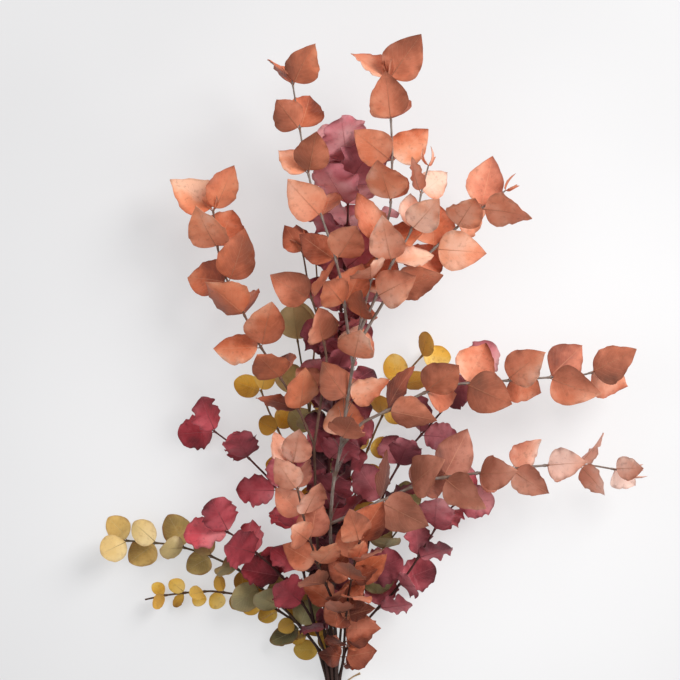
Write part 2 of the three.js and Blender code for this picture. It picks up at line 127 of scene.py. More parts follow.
FORMS = {
    LeafKind.APRICOT: LeafForm(
        width=0.84, shoulder=0.48, taper=1.0, stalk=4.5, solid_thickness=0.7, stations=(0.1, 0.38, 0.7),
        lift=42, cup=0.18, arch=0.2, twist=30, wave=0.02, ripple=0, waves=1.3,
        rows=24, columns=13, thickness=0.42, ragged=0.03, curl=1.2, groove=0.12, rib_radius=0.4,
    ),
    LeafKind.BURGUNDY: LeafForm(
        width=0.92, shoulder=0.5, taper=0.56, stalk=3.5, solid_thickness=0.7, stations=(0.12, 0.46, 0.82),
        lift=44, cup=0.12, arch=0.12, twist=26, wave=0.045, ripple=0.06, waves=2.6,
        rows=32, columns=17, thickness=0.38, ragged=0.1, curl=2.0, groove=0.16, rib_radius=0.4,
    ),
    LeafKind.YELLOW: LeafForm(
        width=0.86, shoulder=0.55, taper=0.6, stalk=2.5, solid_thickness=0.6, stations=(0.25, 0.75),
        lift=34, cup=0.12, arch=0.1, twist=20, wave=0.01, ripple=0, waves=1,
        rows=16, columns=9, thickness=0.36, ragged=0.02, curl=0.35, groove=0.1, rib_radius=0.3,
    ),
    LeafKind.OLIVE: LeafForm(
        width=0.9, shoulder=0.5, taper=0.66, stalk=3, solid_thickness=0.7, stations=(0.12, 0.44, 0.78),
        lift=40, cup=0.14, arch=0.12, twist=20, wave=0.02, ripple=0, waves=1.5,
        rows=22, columns=13, thickness=0.4, ragged=0.025, curl=0.6, groove=0.16, rib_radius=0.38,
    ),
}

CURLED = LeafForm(
    width=0.24, shoulder=0.5, taper=0.8, stalk=1.5, solid_thickness=0.3, stations=(),
    lift=0, cup=0.9, arch=0.9, twist=120, wave=0, ripple=0, waves=1,
    rows=18, columns=7, thickness=0.35, ragged=0.02, curl=0.2, groove=0, rib_radius=0.25,
)


@dataclass(frozen=True)
class Pairs:
    """The pairs of leaves along a line: where they stand, and the leaf size at the first and last pair."""

    first: float
    last: float
    count: int
    start: float
    end: float
    phase: float


@dataclass(frozen=True)
class Tint:
    """How the colour runs from a branch's first leaves to its last.

    tone goes from dark at 0 to pale at 1, partly as painted shade deep in the bunch and painted light at the
    tips, and dye from one hue to the other.
    """

    tone: tuple[float, float]
    dye: tuple[float, float]


@dataclass(frozen=True)
class Shoot:
    """A side shoot: the length along its stem where it leaves, its radius, route, pairs and tint."""

    at: float
    radius: float
    route: tuple[Point, ...]
    pairs: Pairs
    tint: Tint


@dataclass(frozen=True)
class Stem:
    """A cut branch, named as its solid. inner holds the small leaves deep in the bunch, at its own stem."""

    name: str
    kind: LeafKind
    bark: Bark
    radius: float
    route: tuple[Point, ...]
    pairs: Pairs
    tint: Tint
    shoots: tuple[Shoot, ...] = ()
    inner: Pairs | None = None


STEMS = (
    Stem(
        "apricot_tall", LeafKind.APRICOT, Bark.GREY, 2.1,
        (
            (2.4, 0, 10.8), (2.4, 32, 10.8), (2.5, 62, 16), (-1, 120, 38), (-4, 200, 68), (-1, 240, 80),
            (7, 280, 88), (20, 370, 96), (26, 400, 98), (40, 458, 100), (49, 485, 100), (56, 515, 99),
            (58, 570, 97), (56, 615, 95), (54, 645, 94),
        ),
        Pairs(300, 662, 10, 46, 48, 96), Tint((0.5, 0.55), (0.25, 0.15)),
        (
            Shoot(
                405, 1.5,
                (
                    (50, 446, 107), (62, 470, 111), (73, 486, 112), (82, 508, 112), (86, 530, 110),
                    (93, 556, 108),
                ),
                Pairs(42, 154, 4, 44, 36, 60), Tint((0.8, 0.86), (0.35, 0.4)),
            ),
            Shoot(
                392, 1.6,
                ((56, 434, 92), (106, 482, 82), (129, 503, 80), (171, 534, 80)),
                Pairs(66, 190, 5, 50, 52, 20), Tint((0.74, 0.72), (0.2, 0.2)),
            ),
            Shoot(
                292, 1.7,
                (
                    (28, 303, 92), (94, 334, 80), (124, 341, 76), (184, 345, 72), (252, 350, 68),
                    (276, 358, 66),
                ),
                Pairs(60, 272, 6, 48, 50, 30), Tint((0.34, 0.6), (0.2, 0.4)),
            ),
            Shoot(
                210, 1.8,
                (
                    (24, 213, 77), (94, 245, 73), (134, 250, 70), (194, 257, 66), (229, 260, 64),
                    (264, 258, 62), (296, 252, 60),
                ),
                Pairs(56, 298, 8, 52, 34, 10), Tint((0.04, 0.92), (0.6, 0.95)),
            ),
            Shoot(
                376, 1.6,
                (
                    (13, 400, 104), (8, 440, 108), (0, 472, 108), (-22, 535, 104), (-30, 570, 102),
                    (-42, 646, 98),
                ),
                Pairs(60, 284, 6, 46, 42, 130), Tint((0.5, 0.5), (0.05, 0.1)),
            ),
        ),
    ),
    Stem(
        "apricot_left", LeafKind.APRICOT, Bark.BROWN, 1.7,
        (
            (-1.8, 0, 10.3), (-1.8, 32, 10.3), (-4, 62, 14), (-11, 120, 34), (-17, 180, 54), (-19, 240, 64),
            (-20, 280, 70), (-33, 310, 74), (-46, 335, 76), (-76, 382, 74), (-96, 422, 70),
            (-114, 458, 66), (-118, 482, 64), (-122, 516, 64),
        ),
        Pairs(326, 548, 7, 46, 52, 20), Tint((0.38, 0.62), (0.0, 0.05)),
        (
            Shoot(
                288, 1.5,
                (
                    (-12, 330, 80), (-7, 365, 84), (-12, 395, 86), (-22, 425, 86), (-27, 448, 85),
                    (-32, 478, 83),
                ),
                Pairs(60, 196, 4, 42, 44, 10), Tint((0.5, 0.4), (0.3, 0.1)),
            ),
        ),
    ),
    Stem(
        "apricot_low", LeafKind.APRICOT, Bark.BROWN, 1.6,
        (
            (4, 0, 6.9), (4, 32, 6.9), (8.5, 48, 10), (10, 62, 19), (11, 92, 44), (14, 126, 68),
            (20, 160, 88), (26, 188, 98),
        ),
        Pairs(60, 212, 8, 36, 42, 30), Tint((0.28, 0.44), (0.25, 0.1)),
        inner=Pairs(50, 190, 7, 24, 28, 75),
        shoots=(
            Shoot(
                108, 1.5,
                ((-2, 124, 64), (-16, 160, 84), (-28, 200, 92), (-36, 236, 92), (-42, 262, 90)),
                Pairs(30, 184, 7, 38, 38, 40), Tint((0.34, 0.6), (0.05, 0.6)),
            ),
        ),
    ),
    Stem(
        "burgundy_tall", LeafKind.BURGUNDY, Bark.RED, 1.7,
        (
            (0, 0, 6.9), (0, 32, 6.9), (-1, 62, 9), (-5, 120, 23), (-7, 180, 36), (-6, 240, 45),
            (-2, 300, 51), (7, 410, 58), (14, 510, 65), (14, 545, 68), (13, 566, 70),
        ),
        Pairs(118, 569, 22, 38, 58, 0), Tint((0.14, 0.82), (0.2, 0.8)),
        inner=Pairs(92, 480, 20, 26, 36, 45),
    ),
    Stem(
        "burgundy_left", LeafKind.BURGUNDY, Bark.RED, 1.6,
        (
            (-5.7, 0, 10), (-5.7, 32, 10), (-10, 62, 12), (-24, 100, 22), (-42, 130, 30),
            (-64, 154, 34), (-88, 174, 36), (-104, 186, 36), (-112, 190, 36),
        ),
        Pairs(86, 228, 5, 38, 44, 10), Tint((0.42, 0.68), (0.0, 0.0)),
        (
            Shoot(
                92, 1.5,
                (
                    (-30, 140, 32), (-38, 186, 34), (-50, 220, 32), (-68, 244, 29), (-88, 264, 27),
                    (-108, 280, 25), (-126, 293, 24),
                ),
                Pairs(62, 238, 5, 38, 36, 0), Tint((0.5, 0.62), (0.0, 0.1)),
            ),
        ),
    ),
    Stem(
        "burgundy_right", LeafKind.BURGUNDY, Bark.RED, 1.6,
        (
            (5.6, 0, 3.5), (5.6, 32, 3.5), (11, 62, 6), (26, 86, 13), (42, 105, 19), (60, 124, 24),
            (79, 150, 28), (96, 178, 30), (112, 206, 30), (126, 218, 30),
        ),
        Pairs(122, 257, 5, 38, 38, 20), Tint((0.45, 0.75), (0.5, 0.4)),
        (
            Shoot(
                90, 1.4,
                (
                    (28, 140, 24), (38, 190, 28), (54, 235, 28), (74, 270, 26), (98, 297, 24),
                    (120, 322, 23), (140, 345, 22), (158, 352, 22),
                ),
                Pairs(60, 298, 7, 42, 38, 0), Tint((0.35, 0.55), (0.3, 1.0)),
            ),
        ),
    ),
    Stem(
        "yellow_right", LeafKind.YELLOW, Bark.OCHRE, 1.5,
        (
            (1.9, 0, 3.5), (1.9, 32, 3.5), (5, 62, 5), (10, 120, 9), (16, 190, 12), (26, 250, 14),
            (42, 290, 15), (58, 325, 16), (74, 350, 16), (92, 370, 16),
        ),
        Pairs(90, 387, 9, 22, 32, 110), Tint((0.4, 0.65), (0.1, 0.0)),
    ),
    Stem(
        "yellow_left", LeafKind.YELLOW, Bark.OCHRE, 1.5,
        (
            (-3.8, 0, 6.7), (-3.8, 32, 6.7), (-7, 62, 8), (-16, 120, 11), (-28, 180, 13), (-40, 240, 14),
            (-54, 284, 15), (-68, 312, 15), (-76, 334, 15),
        ),
        Pairs(80, 342, 7, 23, 28, 50), Tint((0.4, 0.6), (0.1, 0.0)),
        (
            Shoot(
                188, 1.2,
                (
                    (-26, 240, 12), (-26, 300, 9), (-22, 360, 10), (-18, 400, 12), (-17, 435, 13),
                    (-19, 468, 13),
                ),
                Pairs(60, 281, 4, 25, 25, 10), Tint((0.5, 0.6), (0.1, 0.0)),
            ),
        ),
    ),
    Stem(
        "yellow_low", LeafKind.YELLOW, Bark.OCHRE, 1.5,
        (
            (-5.6, 0, 3.5), (-5.6, 32, 3.5), (-13, 60, 4.5), (-36, 90, 8), (-66, 110, 10), (-96, 121, 11),
            (-126, 125, 11), (-156, 123, 10), (-178, 120, 10), (-196, 116, 10),
        ),
        Pairs(64, 246, 10, 24, 18, 15), Tint((0.45, 0.6), (0.5, 0.0)),
    ),
    Stem(
        "olive_low", LeafKind.OLIVE, Bark.OLIVE, 1.6,
        (
            (-7.6, 0, 6.6), (-7.6, 32, 6.6), (-17, 66, 9), (-46, 102, 16), (-76, 130, 19),
            (-101, 150, 20), (-131, 164, 20), (-166, 174, 19), (-200, 177, 18), (-222, 178, 17),
        ),
        Pairs(96, 304, 8, 34, 32, 20), Tint((0.35, 0.7), (0.0, 1.0)),
    ),
    Stem(
        "olive_upper", LeafKind.OLIVE, Bark.OLIVE, 1.5,
        (
            (-1.9, 0, 3.5), (-1.9, 32, 3.5), (-3, 62, 4.5), (-6, 120, 8), (-12, 180, 11), (-18, 240, 14),
            (-24, 300, 18), (-32, 350, 20), (-38, 386, 19),
        ),
        Pairs(150, 386, 6, 32, 38, 10), Tint((0.45, 0.6), (0.2, 0.4)),
        (
            Shoot(
                84, 1.3,
                ((8, 106, 4.5), (24, 132, 8), (44, 160, 14), (62, 184, 18), (76, 202, 20)),
                Pairs(60, 143, 3, 32, 34, 0), Tint((0.4, 0.5), (0.1, 0.3)),
            ),
        ),
    ),
)

# The rule by which leaves grow. Its numbers are those of the solids, in mm, degrees and shares.
STEM_TIP_RADIUS = 0.9
SHOOT_TIP_RADIUS = 0.8
CHANCE_STEPS = (12.9898, 78.233, 37.719, 9.131)
CHANCE_SCALE = 43758.5453
LEAF_TRAITS = 10
AROUND_SPREAD = 16
LIFT_SPREAD = 14
TIP_LIFT = 14
FACING = (0.35, 0.95)
ROLL_SPREAD = 28
SIZES = (0.88, 1.08)
CUPS = (-1, 2.2)
EDGE_SHIFT = 2.1
EDGE_POWER = 1.5
MOST_TRIES = 24
TRY_TURN = 12
TRY_LIFTS = (0, -10, -20)
TRY_FACINGS = (1, 0.75, 0.5, 0.25)
TRY_SHRINK = 0.012
PRESSED_TRIES = 9
PRESSED_TURN = -0.1
PRESSED_BELOW = 0.8
PRESSED_FROM = 0.42
PRESSED_DEPTH = 5

# The fine edge of a blade, which the solids leave out: angles in radians, widths in mm.
RAGGED_PACES = (13.0, 23.0, 41.0, 67.0)
RAGGED_SEED = 40
RAGGED_FALL = 0.8
CURL_PACES = (21, 37)
CURL_SEEDS = (30, 17)
CURL_SIDES = (1.3, -1)
CURL_SHARES = (1, 0.6)
GROOVE_WIDTH = 1.6
NECK_END = 0.2
NECK_WIDTH = 1.3

# Numbers of the traits that only the looks draw.
TONE_TRAIT = 20
DYE_TRAIT = 21
CURL_TRAIT = 40


def mix(a: float, b: float, t: float) -> float:
    """The value a share t of the way from a to b."""
    return a + (b - a) * t


def unit(vector: np.ndarray) -> np.ndarray:
    """The vector at length 1."""
    return vector / np.linalg.norm(vector)


def chance(stem: int, shoot: int, leaf: int, trait: int) -> float:
    """A repeatable number from 0 to 1 for a leaf and one of its traits.

    Args:
        stem: The stem's number.
        shoot: The shoot's number on the stem, 0 for the stem itself.
        leaf: The leaf's number on the shoot.
        trait: The trait's number.

    Returns:
        The number that the solids use too.
    """
    a, b, c, d = CHANCE_STEPS
    raw = math.sin(stem * a + shoot * b + leaf * c + trait * d) * CHANCE_SCALE
    return raw - math.floor(raw)


def turned(vector: np.ndarray, axis: np.ndarray, angle: float) -> np.ndarray:
    """The vector turned about a unit axis.

    Args:
        vector: The vector.
        axis: The axis.
        angle: The angle in radians, by the right-hand rule.

    Returns:
        The turned vector.
    """
    c, s = math.cos(angle), math.sin(angle)
    return vector * c + np.cross(axis, vector) * s + axis * (axis @ vector) * (1 - c)


def lengths_along(line: np.ndarray) -> np.ndarray:
    """The length walked along a line at each of its points."""
    return np.concatenate([[0], np.cumsum(np.linalg.norm(np.diff(line, axis=0), axis=1))])


def tangents(line: np.ndarray) -> np.ndarray:
    """The direction along a line at each of its points."""
    along = np.gradient(line, axis=0)
    return along / np.linalg.norm(along, axis=1, keepdims=True)


def spaced(line: np.ndarray, count: int) -> np.ndarray:
    """Points at even lengths along a line.

    Args:
        line: The line's points.
        count: How many points there will be.

    Returns:
        The points.
    """
    at = lengths_along(line)
    wanted = np.linspace(0, at[-1], count)
    return np.stack([np.interp(wanted, at, line[:, k]) for k in range(3)], axis=1)


@dataclass(frozen=True)
class Place:
    """A point on a line, and the directions along it, level to its right and above it."""

    point: np.ndarray
    along: np.ndarray
    side: np.ndarray
    above: np.ndarray


def place_on(line: np.ndarray, length: float) -> Place:
    """The place at a length along a line.

    Args:
        line: The line's points.
        length: The length from its first point.

    Returns:
        The place, which is the line's end if the length is past it.
    """
    walked = 0.0
    for i in range(1, len(line)):
        step = float(np.linalg.norm(line[i] - line[i - 1]))
        if walked + step >= length or i == len(line) - 1:
            break
        walked += step
    t = min(1.0, (length - walked) / step)
    along = unit(line[i] - line[i - 1])
    side = unit(np.cross(along, UP))
    return Place(line[i - 1] + (line[i] - line[i - 1]) * t, along, side, np.cross(side, along))


@dataclass(frozen=True)
class Leaf:
    """One leaf where it grows, and the draws that shape it."""

    form: LeafForm
    root: np.ndarray
    base: np.ndarray
    length: float
    sink: float
    axis: np.ndarray
    face: np.ndarray
    across: np.ndarray
    arch: float
    cup: float
    twist: float
    swing: float
    seed: float

    def surface(self, s: np.ndarray, v: np.ndarray, fine: bool) -> np.ndarray:
        """Points of the blade's middle surface.

        Args:
            s: Shares of the length.
            v: Shares of the half width, from -1 to 1.
            fine: Adds the ragged edge, the curl and the groove, which the solid leaves out.

        Returns:
            The points in mm, one more dimension than s.
        """
        form = self.form
        swing = TAU * form.waves * s + self.swing + np.where(v > 0, EDGE_SHIFT, 0.0)
        half = 0.5 * form.width * self.length * form.outline(s) * (1 + form.ripple * np.sin(2 * swing))
        edge = np.abs(v) ** EDGE_POWER
        rise = self.length * self.arch * s * s + half * self.cup * edge
        rise = rise + self.length * form.wave * edge * np.sin(swing)
        if fine:
            half = self.ragged(half, s, v)
            rise = self.curled(rise, half, s, v)
        turn = self.twist * s
        cos, sin = np.cos(turn)[..., None], np.sin(turn)[..., None]
        across = self.across * cos + self.face * sin
        face = self.face * cos - self.across * sin
        points = self.base + self.axis * (self.length * s)[..., None]
        points = points + across * (half * v)[..., None] + face * rise[..., None]
        points[..., 2] -= self.sink * np.minimum(1.0, s / PRESSED_FROM)
        points[..., 2] = np.maximum(points[..., 2], form.solid_thickness / 2)
        return points

    def ragged(self, half: np.ndarray, s: np.ndarray, v: np.ndarray) -> np.ndarray:
        """The half width with a ragged edge and a narrow neck.

        Args:
            half: The smooth half width in mm.
            s: Shares of the length.
            v: Shares of the half width.

        Returns:
            The half width in mm.
        """
        waves = sum(
            np.sin(s * pace + self.seed * RAGGED_SEED + np.sign(v) * (2 + k)) / (1 + RAGGED_FALL * k)
            for k, pace in enumerate(RAGGED_PACES)
        )
        half = half * (1 + self.form.ragged * 0.5 * waves)
        return np.maximum(half, self.form.rib_radius * NECK_WIDTH * (1 - s / NECK_END))

    def curled(self, rise: np.ndarray, half: np.ndarray, s: np.ndarray, v: np.ndarray) -> np.ndarray:
        """The height over the leaf's plane with curled edges and a groove along the rib.

        Args:
            rise: The smooth height in mm.
            half: The half width in mm.
            s: Shares of the length.
            v: Shares of the half width.

        Returns:
            The height in mm.
        """
        curl = sum(
            share * np.sin(s * pace + self.seed * seed + np.sign(v) * side)
            for share, pace, seed, side in zip(CURL_SHARES, CURL_PACES, CURL_SEEDS, CURL_SIDES)
        )
        rise = rise + self.form.curl * np.abs(v) ** 3 * np.sin(math.pi * s) * curl
        deep = np.exp(-((v * half / GROOVE_WIDTH) ** 2)) * np.sin(math.pi * np.minimum(s, 0.98))
        return rise - self.form.groove * deep


@dataclass(frozen=True)
class Line:
    """A stem's or a shoot's middle line with its leaves."""

    stem: int
    shoot: int
    kind: LeafKind
    points: np.ndarray
    start_radius: float
    end_radius: float
    pairs: Pairs
    tint: Tint

    def leaf(self, pair: int, member: int, attempt: int) -> Leaf:
        """A leaf in one of the directions that it tries.

        Args:
            pair: The pair's number from the lowest.
            member: 0 or 1, the leaf in the pair.
            attempt: The direction's number.

        Returns:
            The leaf.
        """
        form, pairs = FORMS[self.kind], self.pairs
        draws = [chance(self.stem, self.shoot, 2 * pair + member, trait) for trait in range(LEAF_TRAITS)]
        share = pair / (pairs.count - 1)
        place = place_on(self.points, mix(pairs.first, pairs.last, share))
        turn = (1 if attempt % 2 else -1) * math.ceil(attempt / len(TRY_LIFTS)) * TRY_TURN
        around = pairs.phase + 90 * pair + 180 * member + mix(-AROUND_SPREAD, AROUND_SPREAD, draws[0]) + turn
        around = around * DEGREE
        lifted = form.lift + mix(-LIFT_SPREAD, LIFT_SPREAD, draws[1]) + TIP_LIFT * share**4
        lifted = (lifted + TRY_LIFTS[attempt % len(TRY_LIFTS)]) * DEGREE
        outward = place.side * math.cos(around) + place.above * math.sin(around)
        axis = outward * math.cos(lifted) + place.along * math.sin(lifted)
        inner = place.along * math.cos(lifted) - outward * math.sin(lifted)
        skyward = unit(UP - axis * (UP @ axis))
        if skyward @ inner < 0:
            skyward = -skyward
        facing = mix(*FACING, draws[2]) * TRY_FACINGS[attempt % len(TRY_FACINGS)]
        roll = mix(-ROLL_SPREAD, ROLL_SPREAD, draws[3]) * DEGREE
        face = turned(unit(inner * (1 - facing) + skyward * facing), axis, roll)
        length = mix(pairs.start, pairs.end, share) * mix(*SIZES, draws[4]) * (1 - TRY_SHRINK * attempt)
        low = place.point[2] < PRESSED_BELOW * length
        pressed = attempt < PRESSED_TRIES and outward[2] < PRESSED_TURN and low
        if pressed:
            axis = unit(axis * np.array([1.0, 1.0, 0.0]))
            face = UP
        return Leaf(
            form=form,
            root=place.point,
            base=place.point + axis * form.stalk,
            length=length,
            sink=place.point[2] + PRESSED_DEPTH if pressed else 0.0,
            axis=axis,
            face=face,
            across=np.cross(axis, face),
            arch=form.arch * mix(-1, 1, draws[5]),
            cup=form.cup * mix(*CUPS, draws[6]),
            twist=0.0 if pressed else form.twist * mix(-1, 1, draws[7]) * DEGREE,
            swing=TAU * draws[8],
            seed=draws[9],
        )

    def smooth(self, step: float) -> tuple[np.ndarray, np.ndarray]:
        """The line with its corners rounded.

        Args:
            step: The spacing of its points in mm.

        Returns:
            The points, and the radius at each.
        """
        at = lengths_along(self.points)
        count = max(4, int(at[-1] / step))
        line = spaced(self.points, count)
        knots = np.linspace(self.start_radius, self.end_radius, len(self.points))
        radius = np.interp(np.linspace(0, at[-1], count), at, knots)
        reach = 3
        before = line[:1] * 2 - line[reach:0:-1]
        after = line[-1:] * 2 - line[-2 : -reach - 2 : -1]
        padded = np.concatenate([before, line, after])
        window = np.hanning(2 * reach + 3)[1:-1]
        window = window / window.sum()
        line = np.stack([np.convolve(padded[:, k], window, mode="valid") for k in range(3)], axis=1)
        return line, radius


@dataclass
class MeshParts:
    """Collects points, faces and point values of one piece."""

    points: list[np.ndarray] = field(default_factory=list)
    faces: list[np.ndarray] = field(default_factory=list)
    values: dict[str, list[np.ndarray]] = field(default_factory=dict)
    creases: list[np.ndarray] = field(default_factory=list)
    count: int = 0

    def add(
        self, points: np.ndarray, faces: np.ndarray, values: dict[str, np.ndarray], creases: np.ndarray
    ) -> None:
        """Adds one shell.

        Args:
            points: Its points in mm.
            faces: Its faces, four point numbers each, the last two alike in a triangle.
            values: Values for each point, by name.
            creases: Pairs of point numbers whose edge stays sharp.
        """
        self.points.append(points)
        self.faces.append(faces + self.count)
        self.creases.append(creases + self.count)
        for name, value in values.items():
            self.values.setdefault(name, []).append(np.broadcast_to(value, (len(points),)))
        self.count += len(points)

    def build(self, name: str) -> bpy.types.Object:
        """Makes the piece.

        Args:
            name: The piece's name.

        Returns:
            The new object, in metres in the model's frame.
        """
        points = (np.concatenate(self.points) - ORIGIN) * MM
        faces = np.concatenate(self.faces)
        triangles = faces[:, 2] == faces[:, 3]
        sizes = np.where(triangles, 3, 4)
        kept = np.ones(faces.shape, bool)
        kept[triangles, 3] = False
        corners = faces[kept]
        mesh = bpy.data.meshes.new(name)
        mesh.vertices.add(len(points))
        mesh.vertices.foreach_set("co", points.astype(np.float32).ravel())
        mesh.loops.add(len(corners))
        mesh.loops.foreach_set("vertex_index", corners.astype(np.int32))
        mesh.polygons.add(len(faces))
        starts = np.concatenate([[0], np.cumsum(sizes)[:-1]])
        mesh.polygons.foreach_set("loop_start", starts.astype(np.int32))
        mesh.polygons.foreach_set("loop_total", sizes.astype(np.int32))
        mesh.update(calc_edges=True)
        mesh.shade_smooth()
        for label, chunks in self.values.items():
            attribute = mesh.attributes.new(label, "FLOAT", "POINT")
            attribute.data.foreach_set("value", np.concatenate(chunks).astype(np.float32))
        self.sharpen(mesh)
        mesh.validate()
        piece = bpy.data.objects.new(name, mesh)
        bpy.context.scene.collection.objects.link(piece)
        return piece

    def sharpen(self, mesh: bpy.types.Mesh) -> None:
        """Marks the creases as sharp edges.

        Args:
            mesh: The mesh that was made from these parts.
        """
        creases = np.sort(np.concatenate(self.creases), axis=1)
        wanted = creases[:, 0].astype(np.int64) * self.count + creases[:, 1]
        ends = np.zeros(len(mesh.edges) * 2, np.int32)
        mesh.edges.foreach_get("vertices", ends)
        ends = np.sort(ends.reshape(-1, 2), axis=1)
        sharp = np.isin(ends[:, 0].astype(np.int64) * self.count + ends[:, 1], wanted)
        mesh.attributes.new("sharp_edge", "BOOLEAN", "EDGE").data.foreach_set("value", sharp)


def grid_faces(rows: int, columns: int, closed: bool) -> np.ndarray:
    """Quads between rows of points.

    Args:
        rows: How many rows there are.
        columns: How many points each row has.
        closed: Joins each row's last point to its first.

    Returns:
        The faces as point numbers.
    """
    i = np.arange(rows - 1)[:, None] * columns
    j = np.arange(columns if closed else columns - 1)[None, :]
    k = (j + 1) % columns
    return np.stack([i + j, i + columns + j, i + columns + k, i + k], axis=-1).reshape(-1, 4)


def tube(
    parts: MeshParts, line: np.ndarray, radius: np.ndarray, sides: int, values: dict[str, np.ndarray]
) -> None:
    """Adds a closed round tube.

    Args:
        parts: Where it goes.
        line: The points of its middle line.
        radius: Its radius at each point, or at each point and side.
        sides: How many sides it has.
        values: Values for each ring, by name.
    """
    along = tangents(line)
    side = np.cross(along, UP)
    upright = np.linalg.norm(side, axis=1) < UPRIGHT
    side[upright] = np.cross(along[upright], np.array([1.0, 0.0, 0.0]))
    side = side / np.linalg.norm(side, axis=1, keepdims=True)
    above = np.cross(side, along)
    angle = TAU * np.arange(sides) / sides
    ring = side[:, None] * np.cos(angle)[None, :, None] + above[:, None] * np.sin(angle)[None, :, None]
    radius = radius[:, None] if radius.ndim == 1 else radius
    points = line[:, None] + ring * radius[..., None]
    rings = len(line)
    tips = rings * sides
    turn = np.arange(sides)
    after = (turn + 1) % sides
    end = (rings - 1) * sides
    start_cap = np.stack([np.full(sides, tips), turn, after, after], axis=1)
    end_cap = np.stack([np.full(sides, tips + 1), end + after, end + turn, end + turn], axis=1)
    faces = np.concatenate([grid_faces(rings, sides, True), start_cap, end_cap])
    creases = np.concatenate([np.stack([turn, after], axis=1), end + np.stack([turn, after], axis=1)])
    spread = {
        name: np.concatenate([np.repeat(np.broadcast_to(value, (rings,)), sides), [value[0], value[-1]]])
        for name, value in values.items()
    }
    around = np.concatenate([np.tile(angle / TAU, rings), [0.0, 0.0]])
    core = np.concatenate([np.zeros(tips), [1.0, 1.0]])
    everything = np.concatenate([points.reshape(-1, 3), line[:1], line[-1:]])
    parts.add(everything, faces, {**spread, "around": around, "core": core}, creases)


@dataclass(frozen=True)
class Fray:
    """Loose fibres that stand out of a cord or a stem. Each pair holds the least and the greatest, in mm."""

    rings: ClassVar[int] = 5
    sides: ClassVar[int] = 3
    lowest: ClassVar[float] = 0.1

    count: int
    depth: float
    reach: tuple[float, float]
    length: tuple[float, float]
    radius: tuple[float, float]
    seed: int

    def add(self, parts: MeshParts, line: np.ndarray) -> None:
        """Adds the fibres.

        Args:
            parts: Where they go.
            line: The middle line of what they stand out of.
        """
        random = np.random.default_rng(self.seed)
        for _ in range(self.count):
            i = int(random.integers(2, len(line) - 3))
            along = unit(line[i + 1] - line[i])
            out = unit(np.cross(along, random.normal(size=3)))
            reach = random.uniform(*self.reach)
            length = random.uniform(*self.length)
            t = np.linspace(0, 1, self.rings)[:, None]
            fibre = line[i] + out * (self.depth + reach * t**1.5) + along * (length * t)
            fibre[:, 2] = np.maximum(fibre[:, 2], self.lowest)
            radius = np.linspace(*reversed(self.radius), self.rings)
            tube(parts, fibre, radius, self.sides, {"run": np.linspace(0, length, self.rings)})


def band(edge: np.ndarray, size: int) -> np.ndarray:
    """Quads between an edge of a blade's upper face and the same edge of its lower face.

    Args:
        edge: Point numbers of the upper edge.
        size: How many points the upper face has.

    Returns:
        The faces.
    """
    a, b = edge[:-1], edge[1:]
    return np.stack([a, b, b + size, a + size], axis=1)


def fan(edge: np.ndarray, point: int) -> np.ndarray:
    """Triangles between an edge and one point.

    Args:
        edge: Point numbers of the edge.
        point: The point's number.

    Returns:
        The faces.
    """
    a, b = edge[:-1], edge[1:]
    return np.stack([a, np.full(len(a), point), b, b], axis=1)


